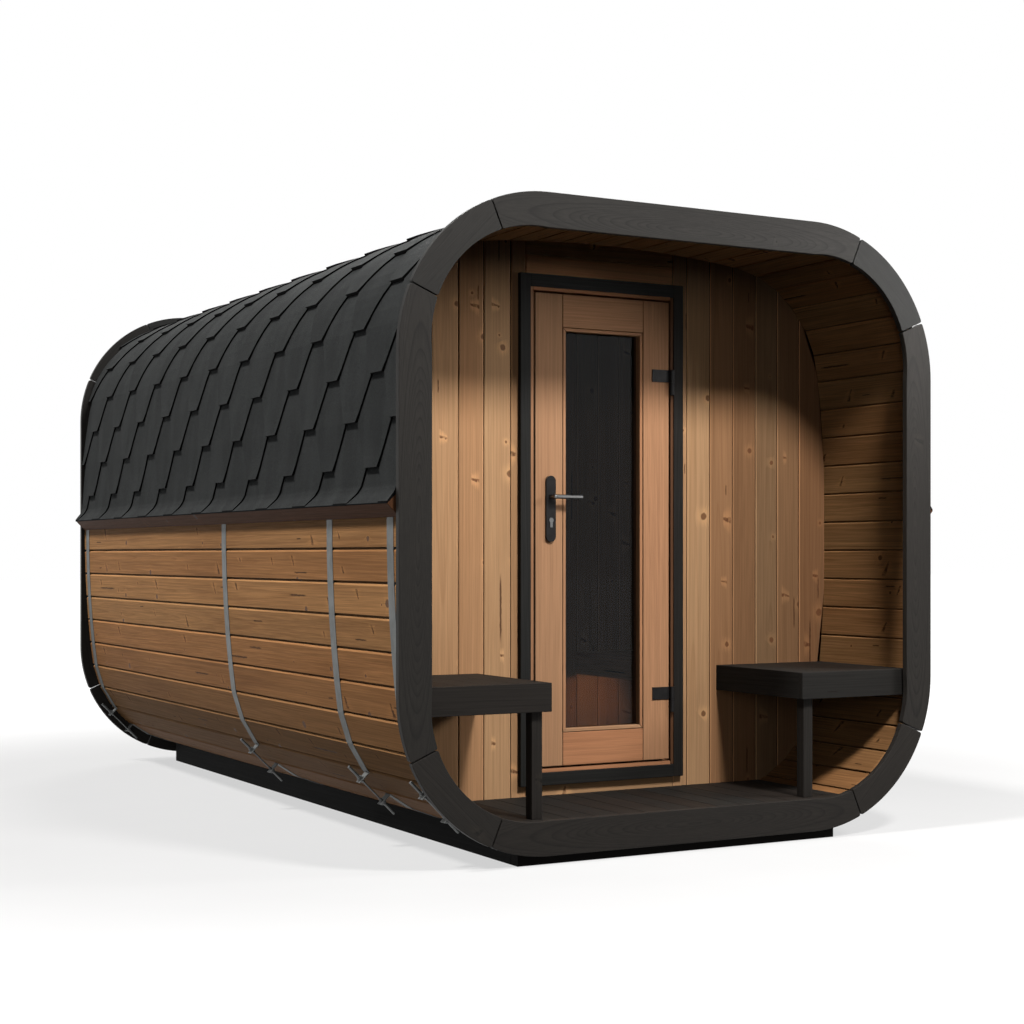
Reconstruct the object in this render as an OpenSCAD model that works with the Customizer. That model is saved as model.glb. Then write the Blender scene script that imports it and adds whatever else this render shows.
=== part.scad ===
// Cube sauna: a rounded square cabin of staves, held by steel bands on a base
// frame, with a roofed terrace, two terrace benches and a glazed door.
// X runs across the front, +Y runs from the terrace to the back and +Z is up.
// The origin is on the ground, under the middle of the building.

/* [Trim rings] */
// Width of the trim rings, edge to edge
ring_w = 2060; // [1900:10:2400]
// Height of the trim rings
ring_h = 2056; // [2000:2:2400]
// Height of the rings' lower edge above the ground
ring_clear = 28; // [20:1:60]
// Thickness of the ring boards
ring_t = 22; // [16:1:40]
// Width of the straight ring boards
ring_band = 108; // [95:1:140]
// Outer radius of the ring's corners
ring_r = 512; // [440:2:560]
// Inner radius of the ring's corners
ring_inner_r = 366; // [320:2:400]
// Gap at the joints between ring boards
ring_joint = 0.6; // [0.4:0.1:2]

/* [Shell] */
// Length of the building, from the front ring's face to the back ring's face
body_l = 3436; // [2800:2:4600]
// Thickness of the staves
wall_t = 28; // [20:1:34]
// Distance from the ring's edge in to the shell, at the corners
wall_inset = 46; // [40:1:52]
// Bulge of each side of the shell between its corners
wall_bulge = 31; // [20:1:36]
// Number of staves round the shell
stave_count = 67; // [61:2:79]
// Thickness of the floor boards
floor_t = 28; // [18:1:32]

/* [Cabin ends] */
// Depth of the terrace, from the front ring's face to the cabin's front wall
terrace_l = 531; // [460:1:800]
// Thickness of the cabin's front wall
front_wall_t = 44; // [40:1:70]
// Thickness of the cabin's back wall
back_wall_t = 44; // [28:1:70]
// Distance of the back wall behind the back ring's face
back_recess = 60; // [30:1:200]

/* [Base frame] */
// Width of the base frame
base_w = 1230; // [1000:10:1400]
// Distance of the base frame's rear end from the back ring's face
base_rear_gap = 130; // [60:5:400]
// Width of the two skids
skid_w = 95; // [60:1:120]
// Thickness of the cross beams
beam_t = 45; // [35:1:70]

/* [Roof] */
// Thickness of the roof covering
roof_t = 4; // [3:0.5:8]
// Height of the eaves' tips above the middle of the shell
eave_rise = 57; // [30:1:120]
// Leg of the eave moulding, a square strip cut from corner to corner
eave_leg = 58; // [45:1:70]

/* [Steel bands] */
// Thickness of the bands
band_t = 1.5; // [1:0.1:1.8]
// Width of the bands
band_w = 45; // [30:1:60]
// Distance of the first band behind the front ring
front_band_gap = 70; // [40:1:120]
// Distance of the last band in front of the back ring
back_band_gap = 53; // [40:1:120]
// Length of the tensioning rods
rod_l = 232; // [180:1:260]
// Diameter of the rods' threaded ends
rod_d = 10; // [8:1:12]
// Distance between the lugs that a rod pulls together
lug_gap = 107; // [90:1:120]
// Distance from the shell out to the rod's axis
rod_off = 27; // [22:1:34]

/* [Door] */
// Width of the door leaf
leaf_w = 545; // [500:1:600]
// Distance from the top of the ring down to the top of the door leaf
leaf_drop = 228; // [210:2:320]
// Height of the leaf's lower edge above the floor
leaf_rise = 100; // [90:1:130]
// Thickness of the door leaf
leaf_t = 44; // [40:1:48]
// Gap between the leaf and the jamb
leaf_gap = 7.5; // [5:0.5:9]
// Width of the leaf's stiles
stile_w = 108; // [100:1:115]
// Width of the leaf's top and bottom rails
rail_w = 113; // [90:1:140]
// Width of the glazing beads
bead_w = 13; // [10:1:18]
// Depth of the outer glazing beads
bead_depth = 28; // [20:1:30]
// Thickness of the glass
glass_t = 6; // [4:1:8]
// Thickness of the jamb boards
jamb_t = 20; // [16:1:26]
// Width of jamb that shows inside the casing
jamb_reveal = 12; // [8:1:14]
// Width of the casing's upright boards
casing_w = 40; // [30:1:60]
// Width of the casing's upper and lower boards
casing_end_w = 44; // [30:1:60]
// Thickness of the casing boards
casing_t = 20; // [14:1:22]

/* [Door furniture] */
// Distance of the handle's axis from the leaf's free edge
handle_inset = 57; // [45:1:60]
// Height of the lever's axis above the leaf's lower edge
lever_rise = 923; // [880:1:960]
// Width of the handle plate
plate_w = 37; // [30:1:42]
// Height of the handle plate
plate_h = 226; // [220:1:250]
// Thickness of the handle plate
plate_t = 9; // [6:1:12]
// Distance from the lever's axis down to the plate's lower end
plate_drop = 154; // [130:1:160]
// Length of the lever, from its axis to its tip
lever_l = 106; // [90:1:115]
// Diameter of the lever
lever_d = 15; // [12:1:18]
// Distance from the plate out to the lever's middle
lever_out = 28; // [24:1:36]
// Distance from the lever's axis down to the middle of the key cylinder's round
key_drop = 80; // [70:1:92]
// Diameter of the key cylinder's round
key_d = 17; // [16:0.5:18]
// Height of each hinge
hinge_h = 88; // [70:1:100]
// Diameter of the hinge barrels
barrel_d = 18; // [14:1:18]
// Length of the hinge plates on the leaf
hinge_plate_l = 70; // [50:1:90]
// Distance from the leaf's upper edge down to the upper hinge
top_hinge_drop = 240; // [150:5:300]
// Distance from the leaf's lower edge up to the lower hinge
bottom_hinge_rise = 168; // [120:2:300]

/* [Terrace benches] */
// Distance from the middle of the terrace to a bench's inner end
bench_x = 489; // [400:1:520]
// Distance of the benches' front behind the front ring's face
bench_front = 30; // [23:1:80]
// Height of the benches above the floor
bench_h = 426; // [380:1:480]
// Thickness of the seats
seat_t = 22; // [20:1:36]
// Height of the benches' aprons
apron_h = 90; // [60:1:120]
// Thickness of the aprons
apron_t = 22; // [16:1:30]
// Width and depth of the bench posts
post_w = 38; // [30:1:60]

/* [Partition] */
// Distance of the partition behind the front ring's face
partition_y = 1523; // [1250:1:2000]
// Thickness of the partition
partition_t = 44; // [28:1:70]
// Width of the doorway through the partition
doorway_w = 590; // [500:10:700]
// Distance from the top of the ring down to the top of that doorway
doorway_drop = 228; // [200:4:320]

/* [Hidden] */

// Clearance between pieces that fit together
fit = 0.3;
// Clearance round a pin that turns in its bore
pin_fit = 0.08;
// A small overlap, for pieces of one solid that share a face
bite = 0.5;
// An extent that reaches past the building on every side
far = body_l + ring_w + ring_h;

ring_half_w = ring_w / 2;
ring_half_h = ring_h / 2;
mid_z = ring_clear + ring_half_h;
ring_top = ring_clear + ring_h;
floor_top = ring_clear + ring_band;
shell_back = body_l - ring_t;
back_wall_y = body_l - back_recess - back_wall_t;
cabin_front = terrace_l + front_wall_t;

// The ring's corner circles: outer and inner centres, from the ring's middle
ring_centre = [ring_half_w - ring_r, ring_half_h - ring_r];
inner_centre = [ring_half_w - ring_band - ring_inner_r, ring_half_h - ring_band - ring_inner_r];
joint_low = 22.5;
joint_high = 67.5;
joint_half = ring_joint / 2 / ring_r * 180 / PI;

// The shell's outline: a corner circle, and a shallow arc for each side that
// meets it smoothly
corner_r = ring_r - wall_inset;
shell_half_w = ring_half_w - wall_inset + wall_bulge;
shell_half_h = ring_half_h - wall_inset + wall_bulge;
side_bow = corner_r + wall_bulge / 2 + pow(ring_centre[1], 2) / (2 * wall_bulge);
roof_bow = corner_r + wall_bulge / 2 + pow(ring_centre[0], 2) / (2 * wall_bulge);
side_angle = asin(ring_centre[1] / (side_bow - corner_r));
roof_angle = asin(ring_centre[0] / (roof_bow - corner_r));

// Lengths along the outline, from the middle of the underside
s_bottom = roof_bow * roof_angle * PI / 180;
s_corner = corner_r * (90 - side_angle - roof_angle) * PI / 180;
s_side = side_bow * side_angle * PI / 180;
s_low_corner = s_bottom + s_corner;
s_mid = s_low_corner + s_side;
s_high_side = s_mid + s_side;
s_high_corner = s_high_side + s_corner;
s_half = s_high_corner + s_bottom;
stave_w = 2 * s_half / stave_count;

// The seams at which the shell is split into segments
seam_bottom = round(s_bottom / stave_w);
seam_low = round(s_low_corner / stave_w);
seam_high = round(s_high_side / stave_w);
seam_top = round(s_high_corner / stave_w);

// Offsets of the layers outside the staves
band_in = -fit;
band_out = band_in - band_t;
cover_in = band_out - fit;
cover_out = cover_in - roof_t;
room_inset = wall_t + fit;

// Angles of the two lugs of a tensioner, below the horizontal at the corner
lug_turn = atan(lug_gap / 2 / corner_r);
s_upper_lug = s_low_corner - corner_r * (45 - lug_turn - side_angle) * PI / 180;
s_lower_lug = s_low_corner - corner_r * (45 + lug_turn - side_angle) * PI / 180;
lug_t = 3;
lug_w = 30;
lug_reach = rod_off + 14;
nut_d = 18;
nut_h = 8;
washer_d = 24;
washer_t = 2;

second_band_y = terrace_l + front_wall_t / 2;
third_band_y = partition_y + partition_t / 2;
BAND_Y = [ring_t + front_band_gap, second_band_y, third_band_y, shell_back - back_band_gap];

// The eave moulding: half the diagonal of the square strip
eave_half = eave_leg / sqrt(2);
eave_x = shell_half_w - cover_in;
eave_tip_x = eave_x + eave_half;
eave_z = mid_z + eave_rise;
eave_end_gap = 12;

// Door sizes
leaf_half = leaf_w / 2;
leaf_z = floor_top + leaf_rise;
leaf_top = ring_top - leaf_drop;
leaf_h = leaf_top - leaf_z;
leaf_y = terrace_l - casing_t + 4;
leaf_back = leaf_y + leaf_t;
jamb_half = leaf_half + leaf_gap;
jamb_z = leaf_z - leaf_gap;
jamb_top = leaf_top + leaf_gap;
light_half = leaf_half - stile_w;
light_z = leaf_z + rail_w;
light_top = leaf_top - rail_w;
glass_y = leaf_y + bead_depth + fit;
stop_lap = 18;
stop_gap = 5;
stop_t = 12;
jamb_back = leaf_back + stop_gap + stop_t;
handle_x = -(leaf_half - handle_inset);
lever_z = leaf_z + lever_rise;
key_z = lever_z - key_drop;
key_lug_w = 10;
key_lug_h = 33;
key_proud = 2;
plate_z = lever_z - plate_drop;
spindle_r = 4;
spindle_bore_r = 9;
neck_r = 9;
hinge_plate_t = 3;
hinge_pin_r = 4;
hinge_bore_r = hinge_pin_r + pin_fit;
hinge_x = leaf_half + leaf_gap + 1;
hinge_y = leaf_y - barrel_d / 2 - fit;
knuckle_h = hinge_h / 2 - fit;
HINGE_Z = [leaf_z + bottom_hinge_rise, leaf_top - top_hinge_drop - hinge_h];

// Bench sizes
seat_top = floor_top + bench_h;
apron_back = bench_front + apron_t;

front_colour = "#3a3735";
wood_colour = "#b07a4c";
door_colour = "#b9835c";
black_colour = "#2b2a29";
steel_colour = "#8d9294";
roof_colour = "#3c4040";

// Points along an arc
function arc_points(centre, r, a0, a1, n) =
    [for (i = [0:n]) let (a = a0 + (a1 - a0) * i / n) centre + r * [cos(a), sin(a)]];

// The points mirrored left to right, in reverse order
function mirrored(points) =
    [for (i = [len(points) - 1:-1:0]) [-points[i][0], points[i][1]]];

// The points with their coordinates exchanged, in reverse order
function swapped(points) =
    [for (i = [len(points) - 1:-1:0]) [points[i][1], points[i][0]]];

// The angle on the inner corner circle that a joint at angle a runs to
function inner_angle(a, outer, inner) =
    let (
        u = [cos(a), sin(a)],
        d = inner - outer,
        along = d * u,
        reach = along + sqrt(along * along - d * d + ring_inner_r * ring_inner_r),
        p = reach * u - d
    ) atan2(p[1], p[0]);

// Outline of the upper straight board
function board_points(outer, inner) = let (
    a = joint_high + joint_half,
    top = arc_points(outer, ring_r, a, 90, 6),
    under = arc_points(inner, ring_inner_r, 90, inner_angle(a, outer, inner), 6)
) concat(top, mirrored(top), mirrored(under), under);

// Outline of the upper right corner board
function corner_points(outer, inner) = let (
    a0 = joint_low + joint_half,
    a1 = joint_high - joint_half,
    b0 = inner_angle(a0, outer, inner),
    b1 = inner_angle(a1, outer, inner)
) concat(arc_points(outer, ring_r, a0, a1, 12), arc_points(inner, ring_inner_r, b1, b0, 12));

// A point of the shell's outline, at a length s along it from the middle of
// the underside, up the right side; inset moves it inwards
function outline_point(s, inset) =
    s <= s_bottom ? let (a = -90 + s / roof_bow * 180 / PI)
        [(roof_bow - inset) * cos(a), mid_z - shell_half_h + roof_bow + (roof_bow - inset) * sin(a)]
    : s <= s_low_corner ? let (a = -90 + roof_angle + (s - s_bottom) / corner_r * 180 / PI)
        [ring_centre[0], mid_z - ring_centre[1]] + (corner_r - inset) * [cos(a), sin(a)]
    : s <= s_high_side ? let (a = (s - s_mid) / side_bow * 180 / PI)
        [shell_half_w - side_bow + (side_bow - inset) * cos(a), mid_z + (side_bow - inset) * sin(a)]
    : s <= s_high_corner ? let (a = side_angle + (s - s_high_side) / corner_r * 180 / PI)
        [ring_centre[0], mid_z + ring_centre[1]] + (corner_r - inset) * [cos(a), sin(a)]
    : let (a = 90 - roof_angle + (s - s_high_corner) / roof_bow * 180 / PI)
        [(roof_bow - inset) * cos(a), mid_z + shell_half_h - roof_bow + (roof_bow - inset) * sin(a)];

// The outline at seam k; seams past the top are the left side's
function seam(k, inset) = k <= stave_count / 2
    ? outline_point(k * stave_w, inset)
    : let (p = outline_point((stave_count - k) * stave_w, inset)) [-p[0], p[1]];

// A point on the flat of a stave, at a length s along the outline
function stave_point(s, inset) = let (
    k = floor(s / stave_w),
    t = s / stave_w - k
) (1 - t) * seam(k, inset) + t * seam(k + 1, inset);

function seams(k0, k1, inset) = [for (k = [k0:k1]) seam(k, inset)];

function reversed(points) = [for (i = [len(points) - 1:-1:0]) points[i]];

// Outline of a run of staves between two seams, between two insets
function shell_points(k0, k1, out, in) =
    concat(seams(k0, k1, out), reversed(seams(k0, k1, in)));

// The children, drawn in X and Z, standing from y0 to y1 behind the front
module upright(y0, y1) {
    translate([0, y1 - body_l / 2, 0])
        rotate([90, 0, 0])
            linear_extrude(height = y1 - y0) children();
}

// A box from its lowest to its highest corner, y counted from the front
module block(x0, y0, z0, x1, y1, z1) {
    translate([x0, y0 - body_l / 2, z0]) cube([x1 - x0, y1 - y0, z1 - z0]);
}

// A rod along Y
module rod_y(x, z, r, y0, y1) {
    translate([x, y1 - body_l / 2, z]) rotate([90, 0, 0]) cylinder(r = r, h = y1 - y0, $fn = 48);
}

// The space inside the shell, or the shell's full section for an inset of 0
module section_2d(inset) {
    polygon(seams(0, stave_count - 1, inset));
}

// A rectangle frame, drawn in X and Z
module frame_2d(half, z0, z1, w) {
    difference() {
        translate([-half, z0]) square([2 * half, z1 - z0]);
        translate([-half + w, z0 + w]) square([2 * (half - w), z1 - z0 - 2 * w]);
    }
}

module both_sides() {
    children();
    mirror([1, 0, 0]) children();
}

// ---- Trim rings ----

module trim_top(y) {
    upright(y, y + ring_t) translate([0, mid_z]) polygon(board_points(ring_centre, inner_centre));
}

module trim_bottom(y) {
    upright(y, y + ring_t)
        translate([0, mid_z]) mirror([0, 1]) polygon(board_points(ring_centre, inner_centre));
}

module trim_side(y) {
    upright(y, y + ring_t)
        translate([0, mid_z])
            polygon(swapped(board_points(swapped([ring_centre])[0], swapped([inner_centre])[0])));
}

module trim_corners(y) {
    both_sides()
        for (flip = [0, 1])
            upright(y, y + ring_t)
                translate([0, mid_z])
                    mirror([0, flip]) polygon(corner_points(ring_centre, inner_centre));
}

module trim_boards(y) {
    trim_top(y);
    trim_bottom(y);
    both_sides() trim_side(y);
}

module front_trim_boards() { color(front_colour) trim_boards(0); }
module front_trim_corners() { color(front_colour) trim_corners(0); }
module back_trim_boards() { color(front_colour) trim_boards(shell_back); }
module back_trim_corners() { color(front_colour) trim_corners(shell_back); }

// ---- Shell ----

// Staves from seam k0 to seam k1
module staves(k0, k1) {
    upright(ring_t, shell_back) polygon(shell_points(k0, k1, 0, wall_t));
}

module wall_bottom() {
    color(wood_colour)
        upright(ring_t, shell_back)
            polygon(concat(
                mirrored(seams(1, seam_bottom, 0)),
                seams(0, seam_bottom, 0),
                reversed(seams(0, seam_bottom, wall_t)),
                reversed(mirrored(seams(1, seam_bottom, wall_t)))
            ));
}
module wall_top() { color(wood_colour) staves(seam_top, stave_count - seam_top); }
module wall_left() { color(wood_colour) mirror([1, 0, 0]) staves(seam_low, seam_high); }
module wall_right() { color(wood_colour) staves(seam_low, seam_high); }
module wall_lower_corner_left() {
    color(wood_colour) mirror([1, 0, 0]) staves(seam_bottom, seam_low);
}
module wall_lower_corner_right() { color(wood_colour) staves(seam_bottom, seam_low); }
module wall_upper_corner_left() {
    color(wood_colour) mirror([1, 0, 0]) staves(seam_high, seam_top);
}
module wall_upper_corner_right() { color(wood_colour) staves(seam_high, seam_top); }

// ---- Cabin ends and floors ----

// The part of the shell's hollow inside a box
module fill(x0, y0, z0, x1, y1, z1) {
    upright(y0, y1)
        intersection() {
            section_2d(room_inset);
            translate([x0, z0]) square([x1 - x0, z1 - z0]);
        }
}

opening_half = jamb_half + jamb_t + fit;
opening_z = jamb_z - jamb_t - fit;
opening_top = jamb_top + jamb_t + fit;

module front_wall_side() {
    fill(opening_half, terrace_l, 0, ring_half_w, cabin_front, ring_top);
}
module front_wall_sides() { color(wood_colour) both_sides() front_wall_side(); }
module front_wall_header() {
    color(wood_colour)
        fill(-opening_half, terrace_l, opening_top, opening_half, cabin_front, ring_top);
}
module front_wall_sill() {
    color(wood_colour)
        fill(-opening_half, terrace_l, 0, opening_half, cabin_front, opening_z);
}
module back_wall() {
    color(wood_colour)
        fill(-ring_half_w, back_wall_y, 0, ring_half_w, back_wall_y + back_wall_t, ring_top);
}
module floor_slab(y0, y1) {
    fill(-ring_half_w, y0, floor_top - floor_t, ring_half_w, y1, floor_top);
}
module terrace_floor() { color(black_colour) floor_slab(ring_t + fit, terrace_l - fit); }
module room_floor() { color(wood_colour) floor_slab(cabin_front + fit, partition_y - fit); }
module cabin_floor() { color(wood_colour) floor_slab(partition_back + fit, back_wall_y - fit); }

// ---- Roof ----

roof_y0 = ring_t + fit;
roof_y1 = shell_back - fit;
// Where the roof covering leaves the shell to run down the moulding
s_flare = s_mid + eave_rise + eave_half;
seam_flare = floor(s_flare / stave_w) + 1;

module roof_side() {
    slack = fit * sqrt(2);
    lift = roof_t * sqrt(2);
    tip = [eave_tip_x + slack, eave_z];
    bend_in = [eave_x, eave_z + eave_half + slack];
    bend_out = bend_in + [roof_t, lift - roof_t];
    upright(roof_y0, roof_y1)
        polygon(concat(
            [tip, tip + [0, lift], bend_out],
            seams(seam_flare, seam_top, cover_out),
            reversed(seams(seam_flare, seam_top, cover_in)),
            [bend_in]
        ));
}
module roof_left() { color(roof_colour) mirror([1, 0, 0]) roof_side(); }
module roof_right() { color(roof_colour) roof_side(); }
module roof_top() {
    color(roof_colour)
        upright(roof_y0, roof_y1)
            polygon(shell_points(seam_top, stave_count - seam_top, cover_out, cover_in));
}

module eave_mouldings() {
    color(wood_colour)
        both_sides()
            upright(roof_y0, shell_back - eave_end_gap)
                polygon([
                    [eave_x, eave_z - eave_half],
                    [eave_tip_x, eave_z],
                    [eave_x, eave_z + eave_half]
                ]);
}

// ---- Steel bands ----

// Points of a band's outline at one offset, between two lengths along it
function band_run(s0, s1, inset) = concat(
    [stave_point(s0, inset)],
    [for (k = [floor(s0 / stave_w) + 1:ceil(s1 / stave_w) - 1]) seam(k, inset)],
    [stave_point(s1, inset)]
);

// A lug that stands out from the shell at the upper or lower end of a band.
// It is drawn at the lower right corner, square to the rod's axis.
module lug_2d(side) {
    root = corner_r - wall_t;
    translate([ring_centre[0], mid_z - ring_centre[1]])
        rotate(-45)
            translate([root, side * lug_gap / 2 - lug_t / 2])
                square([lug_reach + wall_t, lug_t]);
}

// A lug with its root trimmed back to the band
module lug(side, y) {
    difference() {
        upright(y - lug_w / 2, y + lug_w / 2)
            difference() {
                lug_2d(side);
                section_2d(band_in);
            }
        tensioner_frame(y)
            rotate([-90, 0, 0]) cylinder(r = rod_d / 2 + bite, h = far, center = true, $fn = 48);
    }
}

// Local frame of a tensioner: its origin on the rod's middle, Y along the rod
module tensioner_frame(y) {
    translate([ring_centre[0], y - body_l / 2, mid_z - ring_centre[1]])
        rotate([0, 45, 0])
            translate([corner_r + rod_off, 0, 0])
                rotate([90, 0, 0])
                    children();
}

module steel_bands() {
    color(steel_colour)
        for (y = BAND_Y) {
            upper_end = s_upper_lug;
            union() {
                upright(y - band_w / 2, y + band_w / 2)
                    polygon(concat(
                        band_run(upper_end, s_half * 2 - upper_end, band_out),
                        reversed(band_run(upper_end, s_half * 2 - upper_end, band_in))
                    ));
                both_sides() lug(1, y);
            }
            union() {
                upright(y - band_w / 2, y + band_w / 2)
                    polygon(concat(
                        mirrored(band_run(0, s_lower_lug, band_out)),
                        band_run(0, s_lower_lug, band_out),
                        reversed(band_run(0, s_lower_lug, band_in)),
                        reversed(mirrored(band_run(0, s_lower_lug, band_in)))
                    ));
                both_sides() lug(-1, y);
            }
        }
}

// A rod with threaded ends, and a nut and washer outside each lug
module tensioner(y) {
    shank_r = rod_d / 2 - 2;
    nut_at = lug_gap / 2 + lug_t / 2 + fit;
    tensioner_frame(y)
        rotate([-90, 0, 0]) {
            cylinder(r = shank_r, h = lug_gap, center = true, $fn = 32);
            for (side = [0, 1])
                mirror([0, 0, side]) {
                    translate([0, 0, lug_gap / 2 - 12])
                        cylinder(r = rod_d / 2, h = rod_l / 2 - lug_gap / 2 + 12, $fn = 32);
                    translate([0, 0, nut_at]) cylinder(r = washer_d / 2, h = washer_t, $fn = 32);
                    translate([0, 0, nut_at]) cylinder(r = nut_d / 2, h = washer_t + nut_h, $fn = 6);
                }
        }
}

module band_tensioners() {
    color(steel_colour) for (y = BAND_Y) both_sides() tensioner(y);
}

// ---- Base frame ----

base_front = ring_t;
base_back = body_l - base_rear_gap;

// A beam under the shell, hollowed to the shell's curve
module cradle(x0, y0, x1, y1) {
    upright(y0, y1)
        difference() {
            translate([x0, 0]) square([x1 - x0, mid_z / 2]);
            section_2d(cover_in);
            translate([-far, mid_z - shell_half_h + base_reach]) square([2 * far, far]);
        }
}
base_reach = 80;

module base_skids() {
    color(black_colour)
        both_sides()
            cradle(base_w / 2 - skid_w, base_front + beam_t + fit, base_w / 2, base_back - beam_t - fit);
}

module base_beams() {
    half = base_w / 2 - skid_w - fit;
    base_l = base_back - base_front;
    color(black_colour) {
        cradle(-base_w / 2, base_front, base_w / 2, base_front + beam_t);
        cradle(-base_w / 2, base_back - beam_t, base_w / 2, base_back);
        for (y = [base_front + base_l / 3, base_front + base_l * 2 / 3])
            cradle(-half, y - beam_t / 2, half, y + beam_t / 2);
    }
}

// ---- Door ----

casing_half = jamb_half + jamb_reveal + casing_w;

casing_z = jamb_z - jamb_reveal - casing_end_w;
casing_top = jamb_top + jamb_reveal + casing_end_w;

// Two uprights with an upper and a lower board between them
module door_casing() {
    y = terrace_l - casing_t;
    inner = casing_half - casing_w;
    end = inner - fit;
    color(black_colour) {
        both_sides() block(inner, y, casing_z, casing_half, terrace_l, casing_top);
        block(-end, y, casing_z, end, terrace_l, casing_z + casing_end_w);
        block(-end, y, casing_top - casing_end_w, end, terrace_l, casing_top);
    }
}

// A jamb board, with a step that lets it show inside the casing
module jamb_side() {
    nose = jamb_reveal - fit;
    low = jamb_z - jamb_t;
    high = jamb_top + jamb_t;
    nose_low = jamb_z - nose;
    nose_high = jamb_top + nose;
    block(jamb_half, terrace_l + fit, low, jamb_half + jamb_t, jamb_back, high);
    block(jamb_half, leaf_y, nose_low, jamb_half + nose, terrace_l + fit + bite, nose_high);
}

// The sill, which has the same section as the other boards
module jamb_sill() {
    nose = jamb_reveal - fit;
    end = jamb_half - fit;
    block(-end, terrace_l + fit, jamb_z - jamb_t, end, jamb_back, jamb_z);
    block(-end, leaf_y, jamb_z - nose, end, terrace_l + fit + bite, jamb_z);
}

// The children and their reflection in the doorway's mid-height
module both_ends() {
    children();
    translate([0, 0, jamb_z + jamb_top]) mirror([0, 0, 1]) children();
}

module door_jamb() {
    color(door_colour) {
        both_sides() jamb_side();
        both_ends() jamb_sill();
    }
}

// Strips that the closed leaf stands clear of by stop_gap
module door_stops() {
    y = jamb_back - stop_t;
    side_in = jamb_half - stop_lap;
    side_out = jamb_half - fit;
    end_out = jamb_z + fit;
    end_in = jamb_z + stop_lap;
    color(door_colour) {
        both_sides() block(side_in, y, end_out, side_out, jamb_back, jamb_top - fit);
        both_ends() block(fit - side_in, y, end_out, side_in - fit, jamb_back, end_in);
    }
}

// Where the lever's spindle and the key cylinder pass
module handle_holes(y0, y1, spindle_hole_r) {
    rod_y(handle_x, lever_z, spindle_hole_r, y0, y1);
    key_profile(y0, y1, fit);
}

module key_profile(y0, y1, grow) {
    low = key_z + key_d / 2 - key_lug_h;
    rod_y(handle_x, key_z, key_d / 2 + grow, y0, y1);
    block(
        handle_x - key_lug_w / 2 - grow, y0, low - grow,
        handle_x + key_lug_w / 2 + grow, y1, key_z
    );
}

module door_leaf() {
    color(door_colour)
        difference() {
            upright(leaf_y, leaf_back)
                difference() {
                    translate([-leaf_half, leaf_z]) square([leaf_w, leaf_h]);
                    translate([-light_half, light_z]) square([2 * light_half, light_top - light_z]);
                }
            handle_holes(leaf_y - 1, leaf_back + 1, spindle_bore_r);
        }
}

module bead_frame(y0, y1) {
    upright(y0, y1) frame_2d(light_half - fit, light_z + fit, light_top - fit, bead_w);
}

module glazing_beads() {
    color(door_colour) {
        bead_frame(leaf_y, leaf_y + bead_depth);
        bead_frame(glass_y + glass_t + fit, leaf_back);
    }
}

module door_glass() {
    half = light_half - 2;
    color("#26282a", 0.6)
        block(-half, glass_y, light_z + 2, half, glass_y + glass_t, light_top - 2);
}

// One half of a hinge: its knuckle and the plate that carries it
module hinge_half(z, plate_x0, plate_x1) {
    translate([hinge_x, hinge_y - body_l / 2, z]) cylinder(r = barrel_d / 2, h = knuckle_h, $fn = 48);
    block(plate_x0, leaf_y - fit - hinge_plate_t, z, plate_x1, leaf_y - fit, z + knuckle_h);
}

module hinge_frame_halves() {
    plate_end = jamb_half + jamb_reveal - fit;
    color(black_colour)
        for (z = HINGE_Z) {
            hinge_half(z, hinge_x - 1, plate_end);
            translate([hinge_x, hinge_y - body_l / 2, z + bite])
                cylinder(r = hinge_pin_r, h = hinge_h - 4, $fn = 48);
        }
}

module hinge_leaf_halves() {
    color(black_colour)
        for (z = HINGE_Z)
            difference() {
                hinge_half(z + hinge_h - knuckle_h, hinge_x - hinge_plate_l - barrel_d / 2, hinge_x);
                translate([hinge_x, hinge_y - body_l / 2, z])
                    cylinder(r = hinge_bore_r, h = hinge_h + 1, $fn = 48);
            }
}

module plate_2d() {
    round_r = plate_w / 2;
    translate([handle_x - round_r, plate_z + round_r]) square([plate_w, plate_h - plate_w]);
    for (z = [plate_z + round_r, plate_z + plate_h - round_r])
        translate([handle_x, z]) circle(r = round_r, $fn = 64);
}

module handle_plates() {
    color(black_colour)
        for (y = [leaf_y - plate_t, leaf_back])
            difference() {
                upright(y, y + plate_t) plate_2d();
                handle_holes(y - 1, y + plate_t + 1, spindle_r + pin_fit);
            }
}

module key_cylinder() {
    reach = plate_t + key_proud;
    color(steel_colour) key_profile(leaf_y - reach, leaf_back + reach, 0);
}

// The outer and inner levers on one spindle
module lever() {
    face = plate_t + fit;
    out_y = leaf_y - plate_t - lever_out;
    in_y = leaf_back + plate_t + lever_out;
    color(black_colour) {
        rod_y(handle_x, lever_z, spindle_r, out_y, in_y);
        rod_y(handle_x, lever_z, neck_r, out_y, leaf_y - face);
        rod_y(handle_x, lever_z, neck_r, leaf_back + face, in_y);
        for (y = [out_y, in_y]) {
            translate([handle_x, y - body_l / 2, lever_z]) {
                rotate([0, 90, 0]) cylinder(r = lever_d / 2, h = lever_l, $fn = 48);
                sphere(r = neck_r, $fn = 48);
            }
        }
    }
}

// ---- Terrace benches ----

module bench_seat() {
    fill(
        bench_x + apron_t + fit, apron_back + fit, seat_top - seat_t,
        ring_half_w, terrace_l - fit, seat_top
    );
}

module bench_apron_pair() {
    fill(bench_x, bench_front, seat_top - apron_h, ring_half_w, apron_back, seat_top);
    fill(
        bench_x, apron_back + fit, seat_top - apron_h,
        bench_x + apron_t, terrace_l - fit, seat_top
    );
}

module bench_post() {
    x = bench_x + apron_t + fit;
    y = apron_back + fit;
    block(x, y, floor_top, x + post_w, y + post_w, seat_top - seat_t);
}

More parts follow.
